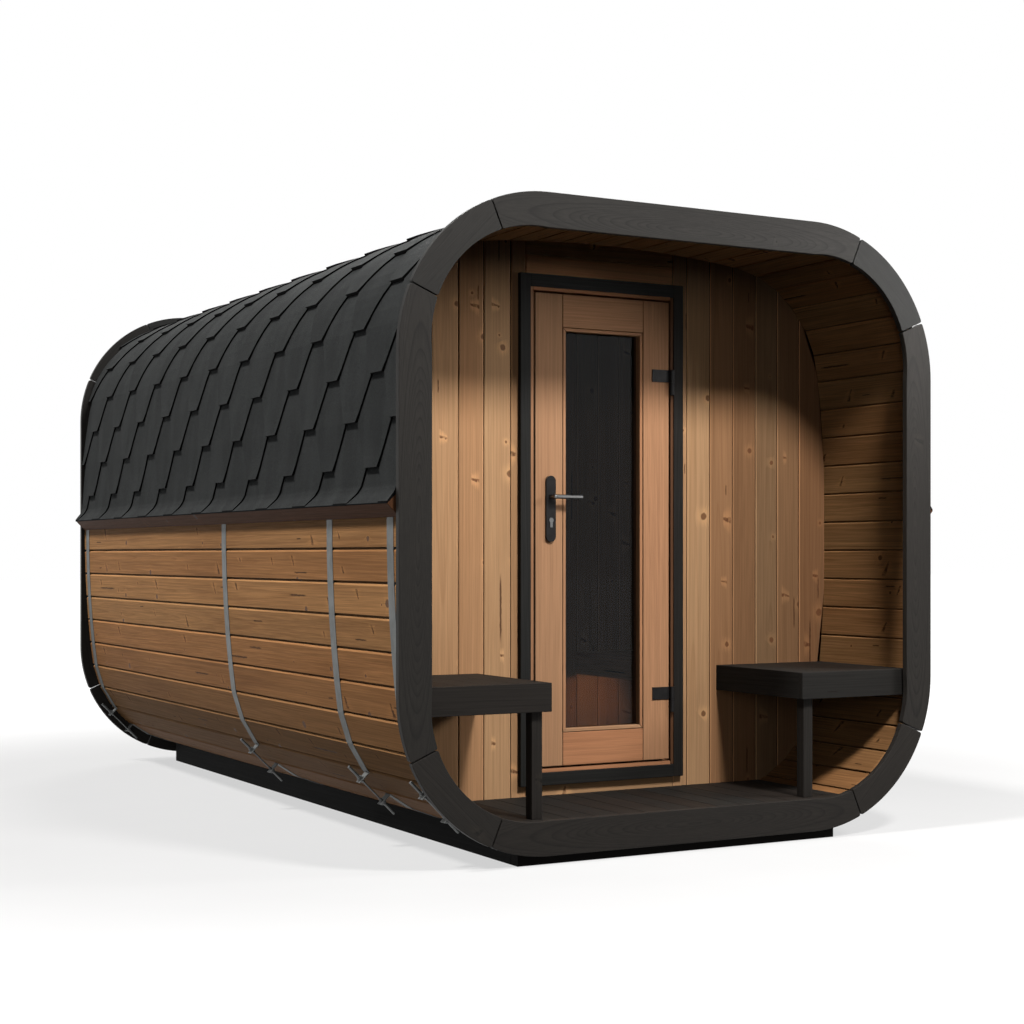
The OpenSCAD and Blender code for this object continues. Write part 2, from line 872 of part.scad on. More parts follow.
module bench_seats() { color(black_colour) both_sides() bench_seat(); }
module bench_aprons() { color(black_colour) both_sides() bench_apron_pair(); }
module bench_posts() { color(black_colour) both_sides() bench_post(); }

// ---- Partition and the bench before it ----

partition_back = partition_y + partition_t;
doorway_half = doorway_w / 2;
doorway_top = ring_top - doorway_drop;

module partition_side() {
    fill(doorway_half, partition_y, 0, ring_half_w, partition_back, ring_top);
}
module partition_sides() { color(wood_colour) both_sides() partition_side(); }
module partition_header() {
    color(wood_colour)
        fill(
            -doorway_half + fit, partition_y, doorway_top,
            doorway_half - fit, partition_back, ring_top
        );
}

bench_y0 = cabin_front + fit;
bench_y1 = partition_y - fit;

module room_bench_apron() {
    color(wood_colour)
        fill(bench_x, bench_y0, seat_top - apron_h, bench_x + apron_t, bench_y1, seat_top);
}

module room_bench_seat() {
    color(wood_colour)
        fill(
            bench_x + apron_t + fit, bench_y0, seat_top - seat_t,
            ring_half_w, bench_y1, seat_top
        );
}

front_trim_boards();
front_trim_corners();
back_trim_boards();
back_trim_corners();
wall_bottom();
wall_top();
wall_left();
wall_right();
wall_lower_corner_left();
wall_lower_corner_right();
wall_upper_corner_left();
wall_upper_corner_right();
front_wall_sides();
front_wall_header();
front_wall_sill();
back_wall();
terrace_floor();
room_floor();
cabin_floor();
roof_left();
roof_top();
roof_right();
eave_mouldings();
steel_bands();
band_tensioners();
base_skids();
base_beams();
door_casing();
door_jamb();
door_stops();
door_leaf();
glazing_beads();
door_glass();
hinge_frame_halves();
hinge_leaf_halves();
handle_plates();
key_cylinder();
lever();
bench_seats();
bench_aprons();
bench_posts();
partition_sides();
partition_header();
room_bench_apron();
room_bench_seat();
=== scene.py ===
"""Looks of the cube sauna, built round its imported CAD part."""

import math
import random

import bmesh
import bpy
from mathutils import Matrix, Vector


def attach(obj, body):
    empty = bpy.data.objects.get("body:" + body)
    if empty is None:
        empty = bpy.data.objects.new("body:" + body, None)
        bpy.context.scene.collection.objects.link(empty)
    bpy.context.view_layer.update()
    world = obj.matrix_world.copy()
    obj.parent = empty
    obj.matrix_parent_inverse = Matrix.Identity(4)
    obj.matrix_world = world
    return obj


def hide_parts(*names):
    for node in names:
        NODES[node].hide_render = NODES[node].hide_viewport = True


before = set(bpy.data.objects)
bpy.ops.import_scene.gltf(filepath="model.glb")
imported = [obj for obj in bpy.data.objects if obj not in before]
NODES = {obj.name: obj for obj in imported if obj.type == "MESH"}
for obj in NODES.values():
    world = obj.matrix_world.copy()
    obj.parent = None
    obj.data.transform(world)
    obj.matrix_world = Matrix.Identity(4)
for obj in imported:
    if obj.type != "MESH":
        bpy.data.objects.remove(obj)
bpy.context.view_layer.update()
SCENE = bpy.context.scene

# ---- Dimensions
# Millimetres. x runs to the right, y back from the front ring's face, z up.

MM = 0.001
GAP = 0.3  # between pieces that meet
BODY_L = 3436.0
MID_Z = 1056.0
RING_T = 22.0
HALF_W, HALF_H = 1030.0, 1028.0
SHELL_W, SHELL_H = 1015.0, 1013.0
CORNER_R = 466.0
CORNER = (518.0, 516.0)
SHELL_Y = (RING_T, BODY_L - RING_T)
WALL_T = 28.0
BULGE = 31.0
STAVES = 67
FLOOR_Z = (108.0, 136.0)
ROOM = WALL_T + GAP

SIDE_BOW = CORNER_R + BULGE / 2 + CORNER[1] ** 2 / (2 * BULGE)
ROOF_BOW = CORNER_R + BULGE / 2 + CORNER[0] ** 2 / (2 * BULGE)
SIDE_ANGLE = math.asin(CORNER[1] / (SIDE_BOW - CORNER_R))
ROOF_ANGLE = math.asin(CORNER[0] / (ROOF_BOW - CORNER_R))
S_BOTTOM = ROOF_BOW * ROOF_ANGLE
S_LOW = S_BOTTOM + CORNER_R * (math.pi / 2 - SIDE_ANGLE - ROOF_ANGLE)
S_MID = S_LOW + SIDE_BOW * SIDE_ANGLE
S_HIGH_SIDE = S_MID + SIDE_BOW * SIDE_ANGLE
S_HIGH = S_HIGH_SIDE + CORNER_R * (math.pi / 2 - SIDE_ANGLE - ROOF_ANGLE)
S_HALF = S_HIGH + S_BOTTOM
STAVE_W = 2 * S_HALF / STAVES


def outline(s, inset=0.0):
    """Point of the shell's outline at length s from the middle of its underside, up the right side."""
    if not 0 <= s <= S_HALF:
        x, z = outline(-s if s < 0 else 2 * S_HALF - s, inset)
        return -x, z
    if s <= S_BOTTOM:
        a, r = -math.pi / 2 + s / ROOF_BOW, ROOF_BOW
        centre = (0.0, MID_Z - SHELL_H + ROOF_BOW)
    elif s <= S_LOW:
        a, r = -math.pi / 2 + ROOF_ANGLE + (s - S_BOTTOM) / CORNER_R, CORNER_R
        centre = (CORNER[0], MID_Z - CORNER[1])
    elif s <= S_HIGH_SIDE:
        a, r = (s - S_MID) / SIDE_BOW, SIDE_BOW
        centre = (SHELL_W - SIDE_BOW, MID_Z)
    elif s <= S_HIGH:
        a, r = SIDE_ANGLE + (s - S_HIGH_SIDE) / CORNER_R, CORNER_R
        centre = (CORNER[0], MID_Z + CORNER[1])
    else:
        a, r = math.pi / 2 - ROOF_ANGLE + (s - S_HIGH) / ROOF_BOW, ROOF_BOW
        centre = (0.0, MID_Z + SHELL_H - ROOF_BOW)
    return centre[0] + (r - inset) * math.cos(a), centre[1] + (r - inset) * math.sin(a)


def seam(k, inset=0.0):
    return outline(k * STAVE_W, inset)


SECTION = [seam(k, ROOM) for k in range(STAVES)]

# ---- Plane geometry


def sides(poly):
    """The pairs of neighbouring points, all the way round."""
    return zip(poly, poly[1:] + poly[:1])


def area(poly):
    return sum(p[0] * q[1] - q[0] * p[1] for p, q in sides(poly)) / 2


def mirrored(side, a, b):
    """The stretch from a to b on one side of the middle, its lower end first."""
    return sorted((side * a, side * b))


def clip_half(poly, a, b):
    """The part of a convex polygon to the left of the line from a to b."""
    def side(p):
        return (b[0] - a[0]) * (p[1] - a[1]) - (b[1] - a[1]) * (p[0] - a[0])
    out = []
    for p, q in sides(poly):
        sp, sq = side(p), side(q)
        if sp >= 0:
            out.append(p)
        if (sp > 0 > sq) or (sp < 0 < sq):
            t = sp / (sp - sq)
            out.append((p[0] + t * (q[0] - p[0]), p[1] + t * (q[1] - p[1])))
    return out


def clip(poly, convex):
    for a, b in sides(convex):
        poly = clip_half(poly, a, b)
        if len(poly) < 3:
            return []
    out = []
    for p in poly:
        if not out or math.dist(p, out[-1]) > 0.4:
            out.append(p)
    if len(out) > 2 and math.dist(out[0], out[-1]) <= 0.4:
        out.pop()
    return out if len(out) > 2 and abs(area(out)) > 60 else []


def rect(x0, z0, x1, z1):
    return [(x0, z0), (x1, z0), (x1, z1), (x0, z1)]


def grown(poly, d):
    """The polygon with each edge moved outwards by d."""
    n = len(poly)
    turn = 1 if area(poly) > 0 else -1
    out = []
    for i in range(n):
        p, q, r = Vector(poly[i - 1]), Vector(poly[i]), Vector(poly[(i + 1) % n])
        u, v = (q - p).normalized(), (r - q).normalized()
        nu, nv = Vector((u.y, -u.x)) * turn, Vector((v.y, -v.x)) * turn
        m = nu + nv
        m = m / max(0.3, m.dot(nu)) if m.length > 1e-6 else nu
        out.append(tuple(q + m * d))
    return out


def rounded(poly, r, steps):
    """The polygon with its corners rounded, where it turns by 25 degrees or more."""
    n, out = len(poly), []
    for i in range(n):
        p, q, s = Vector(poly[i - 1]), Vector(poly[i]), Vector(poly[(i + 1) % n])
        u, v = p - q, s - q
        turn = math.pi - u.angle(v)
        if math.degrees(turn) < 25:
            out.append(tuple(q))
            continue
        reach = min(r * math.tan(turn / 2), u.length * 0.45, v.length * 0.45)
        a, b = q + u.normalized() * reach, q + v.normalized() * reach
        for k in range(steps + 1):
            t = k / steps
            out.append(tuple((1 - t) ** 2 * a + 2 * t * (1 - t) * q + t * t * b))
    return out


# ---- Pieces

AXES = {"x": Vector((1, 0, 0)), "y": Vector((0, 1, 0)), "z": Vector((0, 0, 1))}


def add_object(name, data):
    obj = bpy.data.objects.new(name, data)
    SCENE.collection.objects.link(obj)
    return obj


class Piece:
    """Closed solids gathered into one object, each with its own place in the wood's grain."""

    def __init__(self, name, seed):
        self.name = name
        self.verts, self.faces, self.kinds = [], [], []
        self.grain, self.tone, self.hue, self.across = [], [], [], []
        self.rng = random.Random(seed)

    def solid(self, verts, faces, along="y", depth="z", tone=None, pith=None, plain=None, dip=None,
              hue=None, highlight_and_joint=None):
        """Adds one closed solid. along and depth are the grain's direction and the way into the board.

        highlight_and_joint raises the tone of single vertices for painted highlights on chamfers, and lowers it
        for dark joints. The faces after the first plain ones get the edge material.
        """
        rng = self.rng
        along, depth = (AXES[v] if isinstance(v, str) else Vector(v) for v in (along, depth))
        across = along.cross(depth).normalized()
        centre = sum((Vector(v) for v in verts), Vector()) / len(verts)
        flat = rng.random() < 0.35
        side, deep = pith or ((rng.uniform(-40, 40), rng.uniform(25, 70)) if flat else
                              (rng.uniform(55, 150) * rng.choice((-1, 1)), rng.uniform(30, 110)))
        start = rng.uniform(0, 60)
        lean = rng.uniform(-0.012, 0.012)
        dip = rng.uniform(0.006, 0.018) * rng.choice((-1, 1)) if dip is None else dip
        tone = rng.random() if tone is None else tone
        hue = rng.uniform(-0.8, 1.2) if hue is None else hue
        highlight_and_joint = highlight_and_joint or [0.0] * len(verts)
        first = len(self.verts)
        for v, g in zip(verts, highlight_and_joint):
            p = Vector(v) - centre
            u, w = p.dot(along), p.dot(across)
            self.verts.append((v[0] * MM, (v[1] - BODY_L / 2) * MM, v[2] * MM))
            self.grain.append((start + u * MM, (w + side + lean * u) * MM, (p.dot(depth) + deep + dip * u) * MM))
            # Per-vertex tone: painted highlights on chamfers and darker joints are added here.
            self.tone.append(tone + g)
            self.hue.append(hue)
            self.across.append(w * MM)
        self.faces += [tuple(first + i for i in f) for f in faces]
        self.kinds += [0 if plain is None or i < plain else 1 for i in range(len(faces))]

    def prism(self, poly, lo, hi, axis="y", edge=2.0, steps=1, along="y", depth="z", highlight_and_joint=None, **kw):
        """A board: poly drawn square to axis, from lo to hi, its rims eased by edge."""
        levels = []
        for k in range(steps + 1):
            a = math.pi / 2 * k / steps
            levels.append((-edge * (1 - math.sin(a)), edge * (1 - math.cos(a))))
        rings = [(g, lo + d) for g, d in levels] + [(g, hi - d) for g, d in reversed(levels)]
        n, verts, faces = len(poly), [], []
        for g, w in rings:
            for a, b in (grown(poly, g) if g else poly):
                verts.append({"x": (w, a, b), "y": (a, w, b), "z": (a, b, w)}[axis])
        for r in range(len(rings) - 1):
            for i in range(n):
                j = (i + 1) % n
                faces.append((r * n + i, r * n + j, (r + 1) * n + j, (r + 1) * n + i))
        faces.append(tuple(range(n - 1, -1, -1)))
        faces.append(tuple((len(rings) - 1) * n + i for i in range(n)))
        self.solid(verts, faces, along, depth, highlight_and_joint=highlight_and_joint and highlight_and_joint * len(rings), **kw)

    def board(self, x0, y0, z0, x1, y1, z1, edge=2.0, steps=1, along="z", depth="y", **kw):
        """A box-shaped board, eased along the edges that run with its grain and at its ends."""
        ends, box = {"x": ((x0, x1), (y0, z0, y1, z1)), "y": ((y0, y1), (x0, z0, x1, z1)),
                     "z": ((z0, z1), (x0, y0, x1, y1))}[along]
        self.prism(rounded(rect(*box), edge, steps), *ends, along, edge, steps, along, depth, **kw)

    def build(self, material, slot, *replaces, body="cabin", edge_material=None):
        """Makes the object, which replaces these CAD nodes."""
        mesh = bpy.data.meshes.new(self.name)
        mesh.from_pydata(self.verts, [], self.faces)
        grain = mesh.attributes.new("grain", "FLOAT_VECTOR", "POINT")
        grain.data.foreach_set("vector", [c for g in self.grain for c in g])
        for name in ("tone", "hue", "across"):
            mesh.attributes.new(name, "FLOAT", "POINT").data.foreach_set("value", getattr(self, name))
        mesh.validate()
        bm = bmesh.new()
        bm.from_mesh(mesh)
        bmesh.ops.recalc_face_normals(bm, faces=bm.faces)
        bm.to_mesh(mesh)
        bm.free()
        mesh.materials.append(material)
        if edge_material:
            mesh.materials.append(edge_material)
            mesh.polygons.foreach_set("material_index", self.kinds)
        obj = add_object(self.name, mesh)
        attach(obj, body)
        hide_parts(*replaces)


# ---- Materials


def srgb(r, g, b):
    def lin(c):
        c /= 255
        return c / 12.92 if c <= 0.04045 else ((c + 0.055) / 1.055) ** 2.4
    return lin(r), lin(g), lin(b), 1.0


class Nodes:
    """A node tree, written as expressions."""

    def __init__(self, tree):
        self.tree = tree
        tree.nodes.clear()

    def put(self, socket, value):
        if isinstance(value, bpy.types.NodeSocket):
            self.tree.links.new(value, socket)
        elif value is not None:
            socket.default_value = value

    def node(self, kind, inputs=(), **settings):
        n = self.tree.nodes.new("ShaderNode" + kind)
        for key, value in settings.items():
            setattr(n, key, value)
        for key, value in dict(inputs).items():
            self.put(n.inputs[key], value)
        return n

    def math(self, op, a, b=None, c=None):
        return self.node("Math", {0: a, 1: b, 2: c}, operation=op).outputs[0]

    def mul(self, a, b):
        return self.math("MULTIPLY", a, b)

    def madd(self, a, b, c):
        return self.math("MULTIPLY_ADD", a, b, c)

    def step(self, value, lo, hi, out_lo=0.0, out_hi=1.0):
        """Rises smoothly from out_lo to out_hi while the value goes from lo to hi."""
        inputs = {0: value, 1: lo, 2: hi, 3: out_lo, 4: out_hi}
        return self.node("MapRange", inputs, interpolation_type="SMOOTHSTEP").outputs[0]

    def mix(self, factor, a, b, blend="MIX"):
        return self.node("Mix", {0: factor, 6: a, 7: b}, data_type="RGBA", blend_type=blend).outputs[2]

    def attribute(self, name, output):
        return self.node("Attribute", attribute_name=name).outputs[output]

    def vector(self, x, y, z):
        return self.node("CombineXYZ", {0: x, 1: y, 2: z}).outputs[0]

    def split(self, vector):
        return self.node("SeparateXYZ", {0: vector}).outputs

    def stretched(self, xyz, x, y, z):
        return self.vector(*(self.mul(part, by) for part, by in zip(xyz, (x, y, z))))

    def noise(self, vector, scale=1.0, detail=2.0, rough=0.5):
        inputs = {"Vector": vector, "Scale": scale, "Detail": detail, "Roughness": rough}
        return self.node("TexNoise", inputs).outputs[0]

    def ramp(self, value, stops):
        n = self.node("ValToRGB", {0: value})
        e = n.color_ramp.elements
        while len(e) < len(stops):
            e.new(0.5)
        for item, (at, colour) in zip(e, stops):
            item.position, item.color = at, colour
        return n.outputs[0]


class Shader(Nodes):
    """A material round one Principled shader."""

    def __init__(self, name):
        self.material = bpy.data.materials.new(name)
        self.material.use_nodes = True
        super().__init__(self.material.node_tree)
        self.bsdf = self.node("BsdfPrincipled")
        self.node("OutputMaterial", {0: self.bsdf.outputs[0]})

    def bump(self, height, strength, distance):
        n = self.node("Bump", {"Height": height, "Strength": strength, "Distance": distance})
        self.put(self.bsdf.inputs["Normal"], n.outputs[0])

    def set(self, **values):
        """Sets the shader's inputs; Base_Color=... sets Base Color."""
        for key, value in values.items():
            self.put(self.bsdf.inputs[key.replace("_", " ")], value)


class Wood(Shader):
    """Softwood, in the grain coordinates that each Piece carries.

    grain is (along the grain, across it, into the board) in metres from the pith; across is the
    place across the board from its middle line.
    """

    def __init__(self, name):
        super().__init__(name)
        self.grain = self.split(self.attribute("grain", "Vector"))
        self.along = self.grain[0]
        self.across = self.attribute("across", "Fac")
        self.warp = self.math("SUBTRACT", self.streak(1.6, 9), 0.5)
        self.fine = self.math("SUBTRACT", self.streak(55, 90), 0.5)

    def streak(self, along, across, detail=2, rough=0.5):
        return self.noise(self.stretched(self.grain, along, across, across), detail=detail, rough=rough)

    def cells(self, place, scale):
        """Cells along one line: the way to the nearest cell's point, and its random numbers."""
        n = self.node("TexVoronoi", {"W": place, "Scale": scale}, voronoi_dimensions="1D")
        return self.math("DIVIDE", n.outputs["Distance"], scale), self.split(n.outputs["Color"])

    def round_knots(self, share):
        """Knots cut square across: the way from the middle, the knot, and its pull on the rings."""
        m, mul, madd = self.math, self.mul, self.madd
        place = self.vector(mul(self.along, 4.4), mul(self.across, 4.8), 0.0)
        spots = self.node("TexVoronoi", {"Vector": place, "Scale": 1.0}, voronoi_dimensions="2D")
        away = madd(spots.outputs["Distance"], 0.22, mul(self.fine, 0.007))
        cell = self.split(spots.outputs["Color"])
        present = m("GREATER_THAN", cell[1], 1 - 0.6 * share)
        size = madd(mul(cell[0], cell[0]), 0.011, 0.0035)
        pull = self.step(away, 0.0, mul(size, 5.0), 1.0, 0.0)
        pull = mul(mul(pull, pull), present)
        inside = self.step(away, mul(size, 0.75), mul(size, 1.15), 1.0, 0.0)
        return away, mul(inside, present), pull

    def spike_knots(self, share, slant):
        """Knots cut lengthwise, that run from near the middle line to one side, and their halos."""
        m, mul, madd = self.math, self.mul, self.madd
        lean = m("ADD", madd(self.across, slant, self.along), mul(self.fine, 0.012))
        beside, kind = self.cells(lean, 3.4)
        turn = madd(m("GREATER_THAN", m("FRACT", mul(kind[1], 7.3)), 0.5), 2.0, -1.0)
        off = madd(self.across, turn, 0.012)
        thick = madd(off, madd(kind[1], 0.16, 0.07), 0.0033)
        start = mul(kind[2], 0.02)
        end = madd(kind[1], 0.025, 0.026)
        span = mul(self.step(off, start, m("ADD", start, 0.006)),
                 self.step(off, end, m("ADD", end, 0.008), 1.0, 0.0))
        span = mul(span, m("GREATER_THAN", kind[0], 1 - 0.55 * share))
        spike = self.step(beside, mul(thick, 0.4), thick, 1.0, 0.0)
        halo = self.step(beside, thick, mul(thick, 5.0), 1.0, 0.0)
        return mul(spike, span), mul(halo, span)

    def growth_rings(self, per_m, pull, halo):
        """Dark late wood, 0 to 1, in rings that bend round the knots."""
        m, mul, madd = self.math, self.mul, self.madd
        v, w = self.grain[1], self.grain[2]
        radius = m("SQRT", m("ADD", mul(v, v), mul(w, w)))
        for bend, reach in ((self.warp, 0.008), (pull, 0.016), (halo, 0.006)):
            radius = madd(bend, reach, radius)
        uneven = self.noise(self.vector(mul(radius, 30), 0.0, 0.0), detail=1)
        phase = m("FRACT", madd(radius, per_m, mul(uneven, 7.0)))
        return self.ramp(phase, [(at, (v, v, v, 1)) for at, v in
                                 ((0.0, 0.1), (0.4, 0.06), (0.75, 0.45), (0.92, 1), (1.0, 0.1))])

    def resin_cracks(self, share):
        m, mul, madd = self.math, self.mul, self.madd
        beside, where = self.cells(m("ADD", self.along, 31.0), 1.7)
        aside = m("SUBTRACT", self.across, madd(where[0], 0.06, -0.03))
        aside = m("ABSOLUTE", madd(self.fine, 0.004, aside))
        half = madd(mul(where[1], where[1]), 0.12, 0.02)
        run = self.step(beside, mul(half, 0.6), half, 1.0, 0.0)
        crack = self.step(aside, 0.0012, madd(half, 0.025, 0.002), 1.0, 0.0)
        return mul(mul(crack, run), m("GREATER_THAN", where[2], 1 - 0.45 * share))


def wood(name, light, dark, knot, rings=1.0, knots=1.0, tone=0.3, rough=(0.5, 0.7), rings_per_m=120.0,
         fibre=0.12, stain=0.35, gloss=0.12, slant=-0.3, wings=0.4):
    """Growth rings about a pith, streaks, knots with pale wings, resin cracks, a tone for each board."""
    light, dark, knot = srgb(*light), srgb(*dark), srgb(*knot)
    s = Wood(name)
    m, mul, madd = s.math, s.mul, s.madd
    away, inside, pull = s.round_knots(knots)
    spike, halo = s.spike_knots(knots, slant)
    late = mul(s.growth_rings(rings_per_m, pull, halo), rings)
    crack = s.resin_cracks(knots)
    strands = s.streak(4, 420, 3, 0.6)
    streaks = s.streak(1.3, 130, 3, 0.65)

    colour = s.mix(late, light, dark)
    colour = s.mix(s.step(s.streak(1.1, 7, 3), 0.42, 0.75, 0.0, stain), colour, dark)
    pale = tuple(min(1.0, c * k) for c, k in zip(light, (1.5, 1.45, 1.35))) + (1.0,)
    colour = s.mix(mul(m("MAXIMUM", halo, pull), wings), colour, pale)
    tint = madd(s.attribute("tone", "Fac"), tone, 1 - tone / 2)
    tint = mul(tint, s.step(strands, 0.3, 0.7, 1 - fibre, 1 + fibre))
    tint = mul(tint, s.step(streaks, 0.3, 0.7, 1 - 1.2 * fibre, 1 + 1.2 * fibre))
    hue = s.attribute("hue", "Fac")
    warm = s.vector(*(mul(tint, madd(hue, k, 1.0)) for k in (0.05, -0.07, -0.13)))
    colour = s.mix(1.0, colour, warm, "MULTIPLY")
    ring_in = m("FRACT", mul(away, 600))
    heart = s.mix(s.step(ring_in, 0.2, 0.9, 0.0, 0.5), knot, dark)
    colour = s.mix(mul(inside, 0.85), colour, heart)
    colour = s.mix(mul(spike, s.step(s.fine, -0.2, 0.1, 0.3, 0.85)), colour, knot)
    colour = s.mix(mul(crack, 0.85), colour, s.mix(0.5, knot, (0.01, 0.005, 0.003, 1)))

    height = madd(strands, 0.3, mul(streaks, 0.4))
    height = m("SUBTRACT", height, mul(late, 0.3))
    height = m("SUBTRACT", height, mul(m("ADD", inside, mul(crack, 2.0)), 0.4))
    s.set(Base_Color=colour, Specular_IOR_Level=gloss,
          Roughness=s.step(m("ADD", strands, inside), 0.3, 1.2, rough[1], rough[0]))
    s.bump(height, 0.25, 0.0015)
    return s.material


def shingle_felt():
    """Mineral grit on felt: fine grains of several greys, with paler worn patches."""
    s = Shader("shingle_felt")
    g = s.attribute("grain", "Vector")
    grit = s.node("TexVoronoi", {"Vector": g, "Scale": 900.0})
    fine = s.noise(g, 1400, 2, 0.7)
    patch = s.noise(g, 9, 4, 0.6)
    shade = s.split(grit.outputs["Color"])[0]
    colour = s.mix(shade, srgb(38, 40, 40), srgb(70, 72, 72))
    colour = s.mix(s.step(patch, 0.35, 0.7, 0.0, 0.35), colour, srgb(66, 67, 67))
    tint = s.madd(s.attribute("tone", "Fac"), 0.2, 0.84)
    tint = s.mul(tint, s.step(fine, 0.3, 0.7, 0.78, 1.18))
    weather = s.noise(s.stretched(s.split(g), 11, 2.5, 2.5), detail=2)
    tint = s.mul(tint, s.step(weather, 0.35, 0.65, 0.86, 1.1))
    s.set(Base_Color=s.mix(1.0, colour, s.vector(tint, tint, tint), "MULTIPLY"), Specular_IOR_Level=0.1,
          Roughness=s.step(fine, 0.3, 0.7, 0.8, 0.95))
    s.bump(s.math("ADD", grit.outputs["Distance"], fine), 0.35, 0.0008)
    return s.material


def metal(name, colour, other, rough=(0.3, 0.5), metallic=1.0, grain=(6, 6, 900), gloss=0.5):
    """Metal with a drawn or spangled surface, in the object's own coordinates."""
    colour, other = srgb(*colour), srgb(*other)
    s = Shader(name)
    place = s.node("TexCoord").outputs["Object"]
    drawn = s.noise(s.stretched(s.split(place), *grain), detail=3, rough=0.6)
    blotch = s.noise(place, 14, 3, 0.55)
    tone = s.math("ADD", s.mul(drawn, 0.45), s.mul(blotch, 0.55))
    s.set(Base_Color=s.mix(s.step(tone, 0.35, 0.65), colour, other), Metallic=metallic,
          Roughness=s.step(tone, 0.35, 0.65, *rough), Specular_IOR_Level=gloss)
    s.bump(drawn, 0.08, 0.0004)
    return s.material


def tinted_glass():
    """Grey solar glass, clear enough to look into the room, a little cloudier in places."""
    s = Shader("tinted_glass")
    p = s.split(s.node("TexCoord").outputs["Object"])
    cloud = s.noise(s.stretched(p, 2, 2, 1.2), detail=1)
    s.set(Base_Color=s.mix(s.step(cloud, 0.3, 0.7), srgb(12, 9, 7), srgb(16, 12, 10)),
          Roughness=0.03, IOR=1.5, Alpha=0.4, Specular_IOR_Level=0.3)
    return s.material


STAVE_WOOD = wood("stave_wood", (185, 137, 90), (128, 84, 48), (50, 26, 17), rings=0.35, tone=0.22, fibre=0.14,
                  slant=-0.5, wings=0.25)
FRONT_WOOD = wood("front_wood", (192, 150, 110), (146, 102, 67), (94, 54, 35), rings=0.26, tone=0.36,
                  stain=0.25, knots=0.7, fibre=0.07, slant=-0.2, wings=0.7)
INNER_WOOD = wood("inner_wood", (178, 134, 96), (136, 92, 60), (76, 42, 28), rings=0.35, tone=0.3)
DOOR_WOOD = wood("door_wood", (185, 137, 101), (154, 104, 74), (116, 72, 50), rings=0.22, knots=0.1, tone=0.14,
                 stain=0.2, fibre=0.08)
EAVE_WOOD = wood("eave_wood", (78, 49, 29), (52, 33, 19), (34, 21, 13), rings=0.5)
RING_WOOD = wood("charcoal_ring_wood", (38, 37, 35), (24, 23, 22), (20, 19, 18), rings=0.85, knots=0.12,
                 tone=0.12, rough=(0.42, 0.55), rings_per_m=190, fibre=0.1, stain=0.2, gloss=0.14)
DARK_WOOD = wood("charcoal_wood", (39, 37, 35), (28, 27, 25), (20, 19, 18), rings=0.8, knots=0.12, tone=0.16,
                 rough=(0.5, 0.68), stain=0.3, gloss=0.1)
BASE_WOOD = wood("base_wood", (24, 23, 22), (17, 16, 16), (11, 11, 11), rings=0.8, knots=0.2, tone=0.16,
                 gloss=0.04)
FELT = shingle_felt()
BITUMEN = metal("bitumen_edge", (5, 5, 5), (9, 9, 9), rough=(0.8, 0.9), metallic=0.0,
                grain=(300, 300, 300), gloss=0.05)
ZINC = metal("zinc_plated_steel", (112, 114, 113), (88, 90, 90), rough=(0.35, 0.5), metallic=0.6,
             grain=(60, 60, 60))
BAND_STEEL = metal("band_steel", (126, 128, 127), (110, 112, 111), rough=(0.55, 0.7), metallic=0.35,
                   grain=(20, 900, 20))
BLACK_STEEL = metal("black_steel", (38, 37, 37), (28, 27, 27), rough=(0.4, 0.5), metallic=0.1,
                    grain=(50, 50, 50), gloss=0.12)
BRUSHED = metal("brushed_steel", (120, 120, 119), (98, 98, 98), rough=(0.25, 0.38), grain=(8, 700, 700))
GLASS = tinted_glass()

# ---- Rings at the ends

RING_R, RING_INNER_R = 512.0, 366.0
INNER = (HALF_W - 108 - RING_INNER_R, HALF_H - 108 - RING_INNER_R)
JOINT_HALF = math.degrees(math.asin(2.2 / RING_R))
JOINT_LOW, JOINT_HIGH = 23.0, 67.0


def ring_outline(outer, inner, a0, a1, steps):
    """A run of the ring between two angles of the outer corner circle, its ends square to it."""
    def inner_angle(a):
        u = Vector((math.cos(math.radians(a)), math.sin(math.radians(a))))
        d = Vector(inner) - Vector(outer)
        along = d.dot(u)
        reach = along + math.sqrt(along * along - d.dot(d) + RING_INNER_R ** 2)
        p = u * reach - d
        return math.degrees(math.atan2(p.y, p.x))

    def arc(centre, r, b0, b1):
        angles = [math.radians(b0 + (b1 - b0) * i / steps) for i in range(steps + 1)]
        return [(centre[0] + r * math.cos(a), centre[1] + r * math.sin(a)) for a in angles]
    return arc(outer, RING_R, a0, a1), arc(inner, RING_INNER_R, inner_angle(a1), inner_angle(a0))


def ring_piece(name, y0, seed, nodes):
    """A ring of four straight boards and four corner blocks, with a narrow joint between each two."""
    piece = Piece(name, seed)

    def add(points, grain, pith, dip):
        piece.prism(rounded(points, 8, 3), y0, y0 + RING_T, "y", 1.6, 2, grain, "y", pith=pith, dip=dip)

    def closed(outer, inner):
        """Both halves of a straight board, from the outlines of its right half."""
        return outer + [(-x, z) for x, z in reversed(outer)] + [(-x, z) for x, z in reversed(inner)] + inner
    top = closed(*ring_outline(CORNER, INNER, JOINT_HIGH + JOINT_HALF, 90, 8))
    for flip in (1, -1):
        add([(x, MID_Z + flip * z) for x, z in top], "x", (6, 8), 0.1)
    side = closed(*ring_outline(CORNER[::-1], INNER[::-1], 90 - JOINT_LOW + JOINT_HALF, 90, 8))
    for flip in (1, -1):
        add([(flip * z, MID_Z + x) for x, z in side], "z", (-4, 8), -0.1)
    outer, inner = ring_outline(CORNER, INNER, JOINT_LOW + JOINT_HALF, JOINT_HIGH - JOINT_HALF, 16)
    for fx in (1, -1):
        for fz in (1, -1):
            add([(fx * x, MID_Z + fz * z) for x, z in outer + inner],
                Vector((-fx, 0, fz)).normalized(), (-50, 20), 0.06)
    piece.build(RING_WOOD, "ring_boards", *nodes)


ring_piece("front_ring", 0.0, 11, ("front_trim_boards", "front_trim_corners"))
ring_piece("back_ring", SHELL_Y[1], 12, ("back_trim_boards", "back_trim_corners"))

# ---- Staves

# Where the painted shade on the lower staves starts, and the height over which it deepens
SHADE_TOP_Z, SHADE_FADE = 800.0, 500.0
